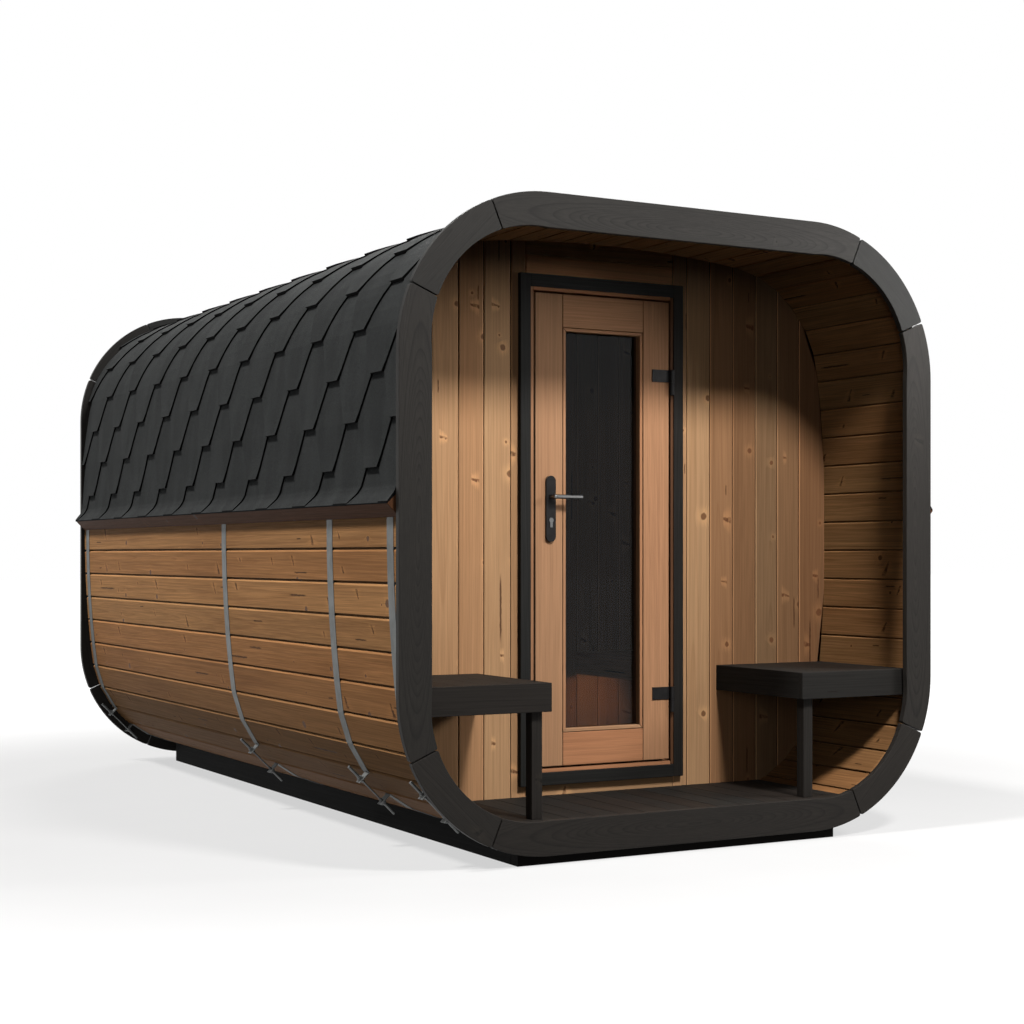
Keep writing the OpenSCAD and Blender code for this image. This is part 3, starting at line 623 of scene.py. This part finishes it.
# Points round a stave: the corner (0 and 1 outside, 2 and 3 inside; 0 and 3 at the lower edge),
# the way up the stave from it, the way outwards, and the tone added there: a painted highlight on
# the chamfers, darker in the grooves
STAVE_PROFILE = [
    (0, 0, -11, -1.5), (0, 6.8, -11, -1.5), (0, 7.2, -0.8, -1.5), (0, 8.0, 0, 0), (1, -6.6, 0, 0),
    (1, -5.8, 0, 1.3), (1, -0.4, -4.2, 1.3), (1, 0, -11, -1.0), (2, 0, 9, -1.5), (2, -1.6, 8, -1.5),
    (2, -2.0, 3.4, 1.2), (2, -6.0, 0, 1.2), (2, -6.8, 0, 0), (3, 3.8, 0, 0), (3, 3.0, 0.8, -0.5),
    (3, 2.4, 8, -1.5), (3, 0, 9, -1.5)]


def shell():
    """The staves, their tone lowered towards the bottom of the shell: painted shade on the underside."""
    piece = Piece("shell_staves", 21)
    for k in range(STAVES):
        corners = [Vector(seam(*at)) for at in ((k, 0), (k + 1, 0), (k + 1, WALL_T), (k, WALL_T))]
        if k > STAVES // 2:
            corners = [corners[i] for i in (1, 0, 3, 2)]
        a, b = corners[:2]
        up = (b - a).normalized()
        out = Vector((up.y, -up.x))
        if out.dot((a + b) / 2 - Vector((0, MID_Z))) < 0:
            out = -out
        poly = [tuple(corners[i] + up * rise + out * away) for i, rise, away, _ in STAVE_PROFILE]
        # Painted shade: the staves darken towards the bottom of the shell.
        low = max(0.0, min(1.0, (SHADE_TOP_Z - (a.y + b.y) / 2) / SHADE_FADE))
        tone, hue = piece.rng.random() - 1.5 * low, piece.rng.uniform(-0.2, 0.6)
        piece.prism(poly, *SHELL_Y, "y", 0.6, 1, "y", (out.x, 0, out.y), tone=tone, hue=hue,
                    highlight_and_joint=[highlight_and_joint for *_, highlight_and_joint in STAVE_PROFILE])
    piece.build(STAVE_WOOD, "shell_staves", "wall_bottom", "wall_top", "wall_left", "wall_right",
                "wall_lower_corner_left", "wall_lower_corner_right",
                "wall_upper_corner_left", "wall_upper_corner_right")


shell()

# ---- Boarded walls and floors


def cut_board(piece, across, tone, hue):
    """A board of the profile across, drawn as (x, y, highlight_and_joint), whose ends follow the shell;
    highlight_and_joint adds painted highlights on chamfers and darkens joints.
    """
    xs = [x for x, _, _ in across]
    poly = clip(rect(min(xs), 0.0, max(xs), TOP_Z), SECTION)
    if not poly:
        return
    left, right = min(p[0] for p in poly), max(p[0] for p in poly)

    def ends(x):
        zs = []
        for (xa, za), (xb, zb) in sides(poly):
            if min(xa, xb) - 1e-6 <= x <= max(xa, xb) + 1e-6:
                if abs(xb - xa) < 1e-6:
                    zs += [za, zb]
                else:
                    zs.append(za + (zb - za) * (x - xa) / (xb - xa))
        return min(zs), max(zs)
    profile = []
    for x, y, highlight_and_joint in across:
        x = max(left, min(right, x))
        if not profile or math.dist(profile[-1][:2], (x, y)) > 0.2:
            profile.append((x, y, highlight_and_joint))
    n = len(profile)
    verts = [(x, y, ends(x)[k]) for k in (0, 1) for x, y, _ in profile]
    faces = [(i, (i + 1) % n, (i + 1) % n + n, i + n) for i in range(n)]
    faces += [tuple(range(n)), tuple(range(2 * n - 1, n - 1, -1))]
    piece.solid(verts, faces, "z", "y", tone=tone, hue=hue, highlight_and_joint=[g for _, _, g in profile] * 2)


TOP_Z = 2100.0  # above every board
# Points across the edge of a matched board: the way in from the edge, the way in from the face,
# and the tone added at the board's left and right edge: a painted highlight on the chamfer, darker in the joint
V_JOINT = [(0, 11, -2, -2), (1.3, 11, -2, -2), (1.4, 3.2, -1, -1), (1.6, 3, 1.3, 1.1), (5.0, 0, 1.3, 1.1),
           (5.6, 0, 0, 0)]


def upright_boards(piece, joints, y0, y1, looks):
    """Matched boards that meet at V joints with a narrow gap at the bottom of the V."""
    for x0, x1, (tone, hue) in zip(joints, joints[1:], looks):
        mid = [x0 + (x1 - x0) * f for f in (0.12, 0.25, 0.4, 0.55, 0.7, 0.82, 0.9)]
        across = [(x0 + x, y0 + y, highlight_and_joint) for x, y, highlight_and_joint, _ in V_JOINT]
        across += [(x, y0, 0) for x in mid]
        across += [(x1 - x, y0 + y, highlight_and_joint) for x, y, _, highlight_and_joint in reversed(V_JOINT)]
        across += [(x1, y1 - 3, 0), (x1 - 3, y1, 0)]
        across += [(x, y1, 0) for x in reversed(mid)] + [(x0 + 3, y1, 0), (x0, y1 - 3, 0)]
        cut_board(piece, across, tone, hue)


def level_boards(piece, x0, x1, joints, y0, y1, tone=None):
    for z0, z1 in zip(joints, joints[1:]):
        poly = clip(rect(x0, z0, x1, z1), SECTION)
        if poly:
            piece.prism(poly, y0, y1, "y", 3.0, 1, "x", "y", tone=tone)


FRONT_WALL, PARTITION, BACK_WALL = (531.0, 575.0), (1523.0, 1567.0), (3332.0, 3376.0)
OPEN_X, OPEN_Z = 300.3, (208.2, 1883.8)
LEFT_JOINTS = [-986, -885, -784, -661, -559, -462.6, -359, -OPEN_X]
RIGHT_JOINTS = [OPEN_X, 362, 461.5, 562.8, 665.2, 762.8, 864, 986]
BOARD_W = 101
TERRACE_END = FRONT_WALL[0] - GAP
ROOM_Y = (FRONT_WALL[1] + GAP, PARTITION[0] - GAP)
REAR_Y = (PARTITION[1] + GAP, BACK_WALL[0] - GAP)


def walls():
    front = Piece("front_wall_boards", 31)
    upright_boards(front, LEFT_JOINTS, *FRONT_WALL, [
        (0.2, 0.0), (0.4, 0.4), (0.3, -0.3), (0.5, 0.1), (0.35, 0.5), (0.55, -0.2), (0.4, 0.2)])
    # The boards right of the door darken towards the right: partly their own tint, partly painted shade where
    # the light falls off.
    upright_boards(front, RIGHT_JOINTS, *FRONT_WALL, [
        (0.6, 0.0), (0.6, -0.2), (-0.35, 0.8), (-0.9, 0.9), (-0.9, -0.1), (-0.95, 0.6), (-1.1, 1.3)])
    # The boards over the door are made much paler: painted light in the shade under the roof.
    level_boards(front, -OPEN_X, OPEN_X, [OPEN_Z[1], 1984.8, TOP_Z], *FRONT_WALL, tone=2.4)
    level_boards(front, -OPEN_X, OPEN_X, [0, 107, OPEN_Z[0]], *FRONT_WALL)
    front.build(FRONT_WOOD, "end_wall_boards", "front_wall_sides", "front_wall_header", "front_wall_sill")
    part = Piece("partition_boards", 32)
    steps = [295 + BOARD_W * i for i in range(8)]
    looks = [(-1.0 + 0.12 * (i % 3), 0.6 * (i % 2)) for i in range(7)]
    upright_boards(part, [-x for x in reversed(steps)], *PARTITION, looks)
    upright_boards(part, steps, *PARTITION, looks)
    level_boards(part, -294.7, 294.7, [1856, 1957, TOP_Z], *PARTITION)
    part.build(INNER_WOOD, "partition_boards", "partition_sides", "partition_header")
    back = Piece("back_wall_boards", 33)
    upright_boards(back, [BOARD_W * i for i in range(-10, 11)], *BACK_WALL, [
        (0.3 + 0.12 * (i * 7 % 5), 0.25 * (i * 5 % 4) - 0.2) for i in range(20)])
    back.build(FRONT_WOOD, "end_wall_boards", "back_wall")


FLOOR_PITCH = 95.0


def floor(name, node, y0, y1, material, slot, seed, gap):
    piece = Piece(name, seed)
    for i in range(-11, 11):
        x0 = (i - 0.5) * FLOOR_PITCH + gap / 2
        poly = clip(rect(x0, FLOOR_Z[0], x0 + FLOOR_PITCH - gap, FLOOR_Z[1]), SECTION)
        if poly:
            piece.prism(poly, y0, y1, edge=1.5)
    piece.build(material, slot, node)


walls()
floor("terrace_deck", "terrace_floor", RING_T + GAP, TERRACE_END, DARK_WOOD, "terrace_boards", 41, 3.0)
floor("room_floor_boards", "room_floor", *ROOM_Y, INNER_WOOD, "floor_boards", 42, 0.6)
floor("cabin_floor_boards", "cabin_floor", *REAR_Y, INNER_WOOD, "floor_boards", 43, 0.6)

# ---- Roof

EXPOSURE, PITCH, FLAT = 145.5, 340.0, 93.0
DECK = 2.1
EAVE_TIP = (1058.2, 1113.3)
FLARE = 58.0
S_BEND = S_MID + 98.0
TOP_P = FLARE + S_HALF - S_BEND
FIRST_ROW = 131.0
# Where the sheets at the eave are divided, so that they follow its bend
STARTER_LEVELS = [0, 20, 36, 42, 48, 54, 60, 66, 72, 80, 120, 160, 200]
EAVE_CUTS = [0.0, 0.15, 0.275, 0.32, 0.37, 0.41, 0.45, 0.49, 0.53, 0.57, 0.61, 0.8, 1.0]


def felt(p):
    """Thickness of a shingle, which lessens towards the ridge so that the ring stays proud."""
    return 6.0 - 2.8 * max(0.0, min(1.0, (p - 700) / 700)) - 3.4 * max(0.0, 1 - p / 60)


def ease(p):
    """1 on the flare, falling to 0 over the first skin of the roof."""
    return max(0.0, min(1.0, 1 - (p - 60) / 150))


def roof_point(p, y, lift):
    """Point of the roof's right side at a length p up from the eave's tip, lift above the deck."""
    bend = 22.0
    tip, foot = Vector(EAVE_TIP), Vector(outline(S_BEND, -DECK))
    if p < FLARE - bend:
        base = tip + (foot - tip) * (p / FLARE)
        normal = Vector((1, 1)).normalized()
    elif p < FLARE + bend:
        q = (p - FLARE + bend) / (2 * bend)
        a = tip + (foot - tip) * ((FLARE - bend) / FLARE)
        b = Vector(outline(S_BEND + bend, -DECK))
        base = (1 - q) ** 2 * a + 2 * q * (1 - q) * foot + q * q * b
        tangent = ((foot - a) * (1 - q) + (b - foot) * q).normalized()
        normal = Vector((tangent.y, -tangent.x))
    else:
        s = S_BEND + p - FLARE
        base = Vector(outline(s, -DECK))
        normal = (Vector(outline(s, -DECK - 10)) - base).normalized()
    q = base + normal * lift
    return q.x, y, q.y


def sheet(piece, cells, top, bottom, tone):
    """A closed sheet over plane cells of (p, y) points; top and bottom give the space points."""
    index, points, faces = {}, [], []
    for cell in cells:
        ring = []
        for p, y in cell:
            key = (round(p, 1), round(y, 1))
            if key not in index:
                index[key] = len(points)
                points.append((p, y))
            if not ring or ring[-1] != index[key]:
                ring.append(index[key])
        if len(ring) > 1 and ring[0] == ring[-1]:
            ring.pop()
        if len(ring) > 2:
            faces.append(ring)
    n = len(points)
    verts = [top(p, y) for p, y in points] + [bottom(p, y) for p, y in points]
    edges = dict.fromkeys(edge for ring in faces for edge in sides(ring))
    out = [tuple(f) for f in faces] + [tuple(i + n for i in reversed(f)) for f in faces]
    out += [(b, a, a + n, b + n) for a, b in edges if (b, a) not in edges]
    piece.solid(verts, out, "y", "z", tone=tone, plain=len(faces))


def band_cells(p0, p1, y0, y1, breaks, levels):
    """Cells of a full strip, cut across at the y breaks and along at the levels."""
    cells, ys = [], [y0] + [y for y in sorted(breaks) if y0 + 0.5 < y < y1 - 0.5] + [y1]
    for a, b in zip(levels, levels[1:]):
        for u, v in zip(ys, ys[1:]):
            cells.append([(a, u), (b, u), (b, v), (a, v)])
    return cells


def underside(row, p0, p):
    """Height of a row's underside above the deck: each row leans on the one below it."""
    fall = (p - p0) / EXPOSURE
    if row == 0:
        return felt(p) * ease(p) + 0.25
    if row == 1 and fall < 1:
        return felt(p) * (1 + ease(p)) + 0.3
    return felt(p) * max(0.0, 2 - fall) + 0.3


def curl(row, p0, p):
    """How far a row's lower edge turns up."""
    rise = 0.9 * max(0.0, felt(p) - 3.2) if row else 0.0
    return rise * max(0.0, 1 - (p - p0) / 24)


def tab_half(h, shown):
    """Half the width of a tab at a height h above its lower edge."""
    return FLAT / 2 + (PITCH / 2 - FLAT) * max(0.0, min(1.0, (h - (shown - EXPOSURE)) / EXPOSURE))


def tab_cells(p0, shown, centres, cuts, y0, y1):
    """The cells of a row's tabs, cut off at the roof's ends."""
    cells = []
    for c in centres:
        for a, b in zip(cuts, cuts[1:]):
            ha, hb = a * shown, b * shown
            wa, wb = tab_half(ha, shown), tab_half(hb, shown)
            for m in range(2):
                ya0, ya1 = c - wa + wa * m, c - wa + wa * (m + 1)
                yb0, yb1 = c - wb + wb * m, c - wb + wb * (m + 1)
                cell = [(p0 + ha, ya0), (p0 + hb, yb0), (p0 + hb, yb1), (p0 + ha, ya1)]
                cell = clip_half(cell, (0, y0), (1, y0)) if min(ya0, yb0) < y0 else cell
                if len(cell) > 2 and max(q[1] for q in cell) > y1:
                    cell = clip_half(cell, (1, y1), (0, y1))
                if len(cell) > 2:
                    cells.append(cell)
    return cells


def shingle_row(piece, place, row, p0, p1, y0, y1, tone):
    """One sheet: its tabs, and the full strip above them that the next rows cover."""
    shown = p1 - p0
    reach = min(p0 + 2 * EXPOSURE, TOP_P)
    offset = 205.0 + (0 if row % 2 else PITCH / 2) - (3 if row else 0)
    centres = [offset + PITCH * k for k in range(-1, 11)]
    cuts = [0.0, 0.25, 0.5, 0.75, 1.0] if row else EAVE_CUTS
    cells = tab_cells(p0, shown, centres, cuts, y0, y1)
    if reach > p1 + 1:
        breaks = [c + k * tab_half(shown, shown) for c in centres for k in (-1, 0, 1)]
        upper = [p1] + [p for p in (p1 + EXPOSURE / 3, p1 + 2 * EXPOSURE / 3) if p < reach - 5] + [reach]
        cells += band_cells(p1, reach, y0, y1, breaks, upper)
    sheet(piece, cells, lambda p, y: place(p, y, underside(row, p0, p) + felt(p) + curl(row, p0, p)),
          lambda p, y: place(p, y, underside(row, p0, p)), tone)


def ridge_caps(piece, rng, y0, y1):
    """Short sheets along the ridge, each over the end of the one before it."""
    lift = 2.1 * felt(TOP_P) + 0.3
    step = 150.0
    xs = [-125, -118, -60, 0, 60, 118, 125]

    def cap(x, y, up):
        px, pz = outline(S_HALF + x, -DECK - lift - up)
        return -px, y, pz
    start = y0
    while start < y1 - 20:
        end = min(start + 2 * step, y1)

        def rise(y, start=start):
            return 2.4 * max(0.0, 1 - (y - start) / (2 * step))
        cells = []
        for a, b in zip(xs, xs[1:]):
            cut0, cut1 = (12 if abs(a) > 120 else 0), (12 if abs(b) > 120 else 0)
            cells.append([(a, start + cut0), (a, end), (b, end), (b, start + cut1)])
        sheet(piece, cells, lambda x, y: cap(x, y, rise(y) + 2.2), lambda x, y: cap(x, y, rise(y)), rng.random())
        start += step


def roof():
    y0, y1 = 22.4, 3413.6
    piece = Piece("roof_shingles", 51)
    rng = random.Random(5)
    rows = [(0.0, FIRST_ROW)]
    while rows[-1][1] < TOP_P - 1:
        rows.append((rows[-1][1], min(rows[-1][1] + EXPOSURE, TOP_P)))
    for side in (1, -1):
        def place(p, y, lift, side=side):
            x, yy, z = roof_point(p + lift * max(0.0, 1 - p / 20), y, lift)
            return side * x, yy, z
        starter = band_cells(0, 200, y0, y1, [], STARTER_LEVELS)
        sheet(piece, starter, lambda p, y: place(p, y, felt(p) * ease(p) + 0.2),
              lambda p, y: place(p, y, 0.0), 0.4)
        for row, (p0, p1) in enumerate(rows):
            shingle_row(piece, place, row, p0, p1, y0, y1, rng.random())
    ridge_caps(piece, rng, y0, y1)
    piece.build(FELT, "shingles", "roof_left", "roof_top", "roof_right", edge_material=BITUMEN)


roof()


EAVE_STRIP = [(1017.1, 1072.0), (1058.1, 1113.0), (1017.1, 1154.0)]


def eaves():
    piece = Piece("eave_strips", 52)
    for side in (1, -1):
        poly = [(side * x, z) for x, z in EAVE_STRIP]
        piece.prism(rounded(poly, 2.0, 2), 22.3, 3402.0, "y", 1.0, 1, "y", (side, 0, 0))
    piece.build(EAVE_WOOD, "eave_wood", "eave_mouldings")


eaves()

# ---- Base


BASE_Y, BEAM_T, SKID_X = (22.0, 3306.0), 45.0, (520.0, 615.0)


def base():
    """Two skids under the sides, a beam across each end and two between the skids."""
    piece = Piece("base_timbers", 61)
    low = MID_Z - SHELL_H + 80

    def cradle(x0, y0, x1, y1, along):
        """A timber whose top is hollowed to the shell's curve."""
        tops = []
        for i in range(13):
            x, s = x0 + (x1 - x0) * i / 12, 0.0
            for _ in range(24):  # finds the place on the outline that lies above x
                s += x - outline(s, -DECK)[0]
            tops.append((x, min(low, outline(s, -DECK)[1])))
        poly = [(x0, 0.0), (x1, 0.0)] + tops[::-1]
        piece.prism(poly, y0, y1, edge=1.6, along=along)
    front, back = BASE_Y
    for side in (1, -1):
        x0, x1 = mirrored(side, *SKID_X)
        cradle(x0, front + BEAM_T + GAP, x1, back - BEAM_T - GAP, "y")
    for y in (front, back - BEAM_T):
        cradle(-SKID_X[1], y, SKID_X[1], y + BEAM_T, "x")
    inner = SKID_X[0] - GAP
    for k in (1, 2):
        y = front + (back - front) * k / 3
        cradle(-inner, y - BEAM_T / 2, inner, y + BEAM_T / 2, "x")
    piece.build(BASE_WOOD, "base_frame", "base_skids", "base_beams")


base()

# ---- Door

LEAF_Y, LEAF_BACK = 515.0, 559.0
LEAF_X, LEAF_Z = 272.5, (236.0, 1856.0)
LIGHT_X, LIGHT_Z = 164.5, (349.0, 1743.0)
GLASS_Y = (543.0, 549.6)
CASING_X, CASING_Y, CASING_Z = (292.0, 332.0), (511.0, 530.8), (172.5, 1919.5)
CASING_IN, CASING_W = 291.7, 44.0
JAMB_X, JAMB_Z, JAMB_T, JAMB_BACK = 280.0, (228.5, 1863.5), 11.7, 576.0
# Points across a jamb: the way out from its face, and y
JAMB_PROFILE = [(0, LEAF_Y), (JAMB_T, LEAF_Y), (JAMB_T, 531.8), (20, 531.8), (20, JAMB_BACK), (0, JAMB_BACK)]
STOP_Y, STOP_W = 564.0, 18.0


def casing():
    piece = Piece("casing_boards", 71)
    y0, y1 = CASING_Y
    low, high = CASING_Z
    for side in (1, -1):
        x0, x1 = mirrored(side, *CASING_X)
        piece.board(x0, y0, low, x1, y1, high, 1.6, 2)
    for z0, z1 in ((low, low + CASING_W), (high - CASING_W, high)):
        piece.board(-CASING_IN, y0, z0, CASING_IN, y1, z1, 1.6, 2, "x")
    piece.build(DARK_WOOD, "casing_boards", "door_casing")


def jambs():
    piece = Piece("jamb_boards", 72)
    low, high = JAMB_Z
    for side in (1, -1):
        poly = [(side * (JAMB_X + out), y) for out, y in JAMB_PROFILE]
        # The right jamb is made almost black: painted shadow in the gap beside the leaf.
        piece.prism(poly, low - JAMB_T, high + JAMB_T, "z", 1.2, 1, "z", "x", tone=-5.0 if side > 0 else -1.0)
    for face, sign in ((low, -1), (high, 1)):
        poly = [(y, face + sign * out) for out, y in JAMB_PROFILE]
        piece.prism(poly, GAP - JAMB_X, JAMB_X - GAP, "x", 1.2, 1, "x", "z")
    piece.build(DOOR_WOOD, "jamb_wood", "door_jamb")
    stops = Piece("stop_strips", 73)
    inner = JAMB_X - STOP_W
    for side in (1, -1):
        x0, x1 = mirrored(side, inner, JAMB_X - GAP)
        stops.board(x0, STOP_Y, low + GAP, x1, JAMB_BACK, high - GAP, 1.2, 1)
    for z0, z1 in ((low + GAP, low + STOP_W), (high - STOP_W, high - GAP)):
        stops.board(GAP - inner, STOP_Y, z0, inner - GAP, JAMB_BACK, z1, 1.2, 1, "x")
    stops.build(DOOR_WOOD, "jamb_wood", "door_stops")


def leaf():
    piece = Piece("leaf_boards", 74)
    for side in (1, -1):
        x0, x1 = mirrored(side, LIGHT_X + 1.0, LEAF_X)
        piece.board(x0, LEAF_Y, LEAF_Z[0], x1, LEAF_BACK, LEAF_Z[1], 2.0, 2, tone=0.5 + 0.2 * side)
    for z0, z1 in ((LEAF_Z[0], LIGHT_Z[0]), (LIGHT_Z[1], LEAF_Z[1])):
        piece.board(-LIGHT_X + 1.0, LEAF_Y, z0, LIGHT_X - 1.0, LEAF_BACK, z1, 2.0, 2, "x", tone=0.6)
    piece.build(DOOR_WOOD, "door_wood", "door_leaf", body="door")
    beads = Piece("bead_strips", 75)
    x, w, joint = LIGHT_X - 2.0, 11.3, 0.9
    z0, z1 = LIGHT_Z[0] + 2.0, LIGHT_Z[1] - 2.0
    for y0, y1 in ((LEAF_Y + 1.2, GLASS_Y[0]), (GLASS_Y[1], LEAF_BACK - 1.2)):
        for side in (1, -1):
            poly = [(side * x, z0 + joint), (side * x, z1 - joint), (side * (x - w), z1 - w - joint),
                    (side * (x - w), z0 + w + joint)]
            beads.prism(poly, y0, y1, "y", 1.8, 2, "z", "y")
        for end, up in ((z0, w), (z1, -w)):
            poly = [(-x + joint, end), (x - joint, end), (x - w - joint, end + up), (-x + w + joint, end + up)]
            beads.prism(poly, y0, y1, "y", 1.8, 2, "x", "y")
    beads.build(DOOR_WOOD, "door_wood", "glazing_beads", body="door")


casing()
jambs()
leaf()

# ---- Benches

BENCH_X, BENCH_Y, SEAT_Z = 489.0, 30.0, 562.0
SEAT_T, APRON_H, APRON_T, POST_W = 22.0, 90.0, 22.0, 38.0
SEAT_X, SEAT_END, SEAT_BOARDS = BENCH_X + APRON_T + GAP, 1000.0, 5
UNDER_Z = SEAT_Z - APRON_H


def seat(piece, side, y0, y1):
    """Boards side by side from the apron to the shell, with narrow joints."""
    width = (SEAT_END - SEAT_X) / SEAT_BOARDS
    for i in range(SEAT_BOARDS):
        x0, x1 = mirrored(side, SEAT_X + width * i, SEAT_X + width * (i + 1) - 1.0)
        poly = clip(rect(x0, SEAT_Z - SEAT_T, x1, SEAT_Z), SECTION)
        if poly:
            piece.prism(poly, y0, y1, edge=1.2)


def terrace_benches():
    piece = Piece("terrace_bench_boards", 81)
    y_in = BENCH_Y + APRON_T + GAP
    for side in (1, -1):
        seat(piece, side, y_in, TERRACE_END)
        x0, x1 = mirrored(side, BENCH_X, 1020)
        poly = clip(rect(x0, UNDER_Z, x1, SEAT_Z), SECTION)
        piece.prism(rounded(poly, 2, 2), BENCH_Y, BENCH_Y + APRON_T, "y", 1.6, 2, "x", "y")
        x0, x1 = mirrored(side, BENCH_X, BENCH_X + APRON_T)
        piece.board(x0, y_in, UNDER_Z, x1, TERRACE_END, SEAT_Z, 1.6, 2, "y", "x")
        x0, x1 = mirrored(side, SEAT_X, SEAT_X + POST_W)
        piece.board(x0, y_in, FLOOR_Z[1], x1, y_in + POST_W, SEAT_Z - SEAT_T, 1.6, 2)
    piece.build(DARK_WOOD, "bench_wood", "bench_seats", "bench_aprons", "bench_posts")


def room_bench():
    piece = Piece("room_bench_boards", 82)
    piece.board(BENCH_X, ROOM_Y[0], UNDER_Z, BENCH_X + APRON_T, ROOM_Y[1], SEAT_Z, 1.6, 2, "y", "x")
    seat(piece, 1, *ROOM_Y)
    piece.build(INNER_WOOD, "room_bench_wood", "room_bench_apron", "room_bench_seat")


terrace_benches()
room_bench()

# ---- Carried-over CAD nodes

for node, material in {
    "steel_bands": BAND_STEEL, "band_tensioners": ZINC, "door_glass": GLASS,
    "hinge_frame_halves": BLACK_STEEL, "hinge_leaf_halves": BLACK_STEEL,
    "handle_plates": BLACK_STEEL, "key_cylinder": BRUSHED, "lever": BRUSHED,
}.items():
    mesh = NODES[node].data
    mesh.materials.clear()
    mesh.materials.append(material)

# ---- Floor, light, camera


def seen_rays(nodes):
    """1 for the rays that the camera, a gloss or a glass sends."""
    path = nodes.node("LightPath").outputs
    sharp = nodes.math("MAXIMUM", path["Is Camera Ray"], path["Is Glossy Ray"])
    return nodes.math("MAXIMUM", sharp, path["Is Transmission Ray"])


def stage():
    """A pale floor that keeps the shadow and throws little light back."""
    s = Shader("pale_floor")
    seen = seen_rays(s)
    p = s.node("TexCoord").outputs["Object"]
    mottle = s.noise(p, 3, 3)
    pale = s.mix(mottle, (0.20, 0.20, 0.20, 1), (0.22, 0.22, 0.22, 1))
    away = s.node("VectorMath", {0: p}, operation="LENGTH").outputs["Value"]
    s.set(Base_Color=s.mix(seen, (0.03, 0.03, 0.03, 1), pale), Roughness=0.95, Specular_IOR_Level=0.0,
          Emission_Color=(1, 1, 1, 1),
          Emission_Strength=s.mul(seen, s.step(away, 2.0, 4.5, 0.62, 0.96)))
    mesh = bpy.data.meshes.new("studio_floor")
    mesh.from_pydata([(x, y, 0) for x, y in rect(-60.0, -60.0, 60.0, 60.0)], [], [(0, 1, 2, 3)])
    mesh.materials.append(s.material)
    ground = add_object("studio_floor", mesh)


def lamp(name, kind, energy, place, target, colour=(1.0, 0.98, 0.96), **settings):
    data = bpy.data.lights.new(name, kind)
    data.energy, data.color = energy, colour
    if kind == "AREA":
        data.shape = "DISK"
    for key, value in settings.items():
        setattr(data, key, value)
    obj = add_object(name, data)
    obj.location = place
    obj.rotation_euler = (Vector(place) - Vector(target)).to_track_quat("Z", "Y").to_euler()


def sun(name, energy, azimuth, elevation, spread):
    """A far light; azimuth runs from the front towards the right, in degrees."""
    az, el = math.radians(azimuth), math.radians(elevation)
    place = (math.sin(az) * math.cos(el), -math.cos(az) * math.cos(el), math.sin(el))
    lamp(name, "SUN", energy, place, (0, 0, 0), angle=math.radians(spread))


def lights():
    world = bpy.data.worlds.new("studio")
    SCENE.world = world
    world.use_nodes = True
    t = Nodes(world.node_tree)
    fill = t.node("Background", {0: (0.95, 0.98, 1.06, 1), 1: 0.042}).outputs[0]
    white = t.node("Background", {0: (1, 1, 1, 1), 1: 1.0}).outputs[0]
    t.node("OutputWorld", {0: t.node("MixShader", {0: seen_rays(t), 1: fill, 2: white}).outputs[0]})
    SCENE.cycles.diffuse_bounces = 0
    lamp("key", "AREA", 256, (0.22, -4.655, 4.68), (0, -1.2, 1.0), size=0.8)
    lamp("low", "AREA", 60, (2.7, -3.2, 2.4), (0, -1.2, 1.6), size=0.9)
    sun("side", 2.6, -86, 58, 8)
    sun("front", 0.27, -32, 3, 28)
    sun("back", 1.3, 150, 28, 20)
    # A warm lamp behind the apron of the room's bench
    lamp("room", "SPOT", 6.4, (0.6, -0.62, 0.5), (0.55, -0.195, 0.34), colour=(1.0, 0.58, 0.34),
         spot_size=math.radians(60), spot_blend=1.0, shadow_soft_size=0.02)


def camera():
    data = bpy.data.cameras.new("camera")
    data.lens, data.sensor_width, data.shift_y, data.clip_end = 63.54, 36.0, 0.0415, 200
    cam = add_object("camera", data)
    cam.location = (-3.3196, -6.557, 0.9616)
    cam.rotation_euler = (math.radians(90), 0, math.radians(-28.902))
    SCENE.camera = cam


stage()
lights()
camera()
SCENE.view_settings.view_transform = "Standard"
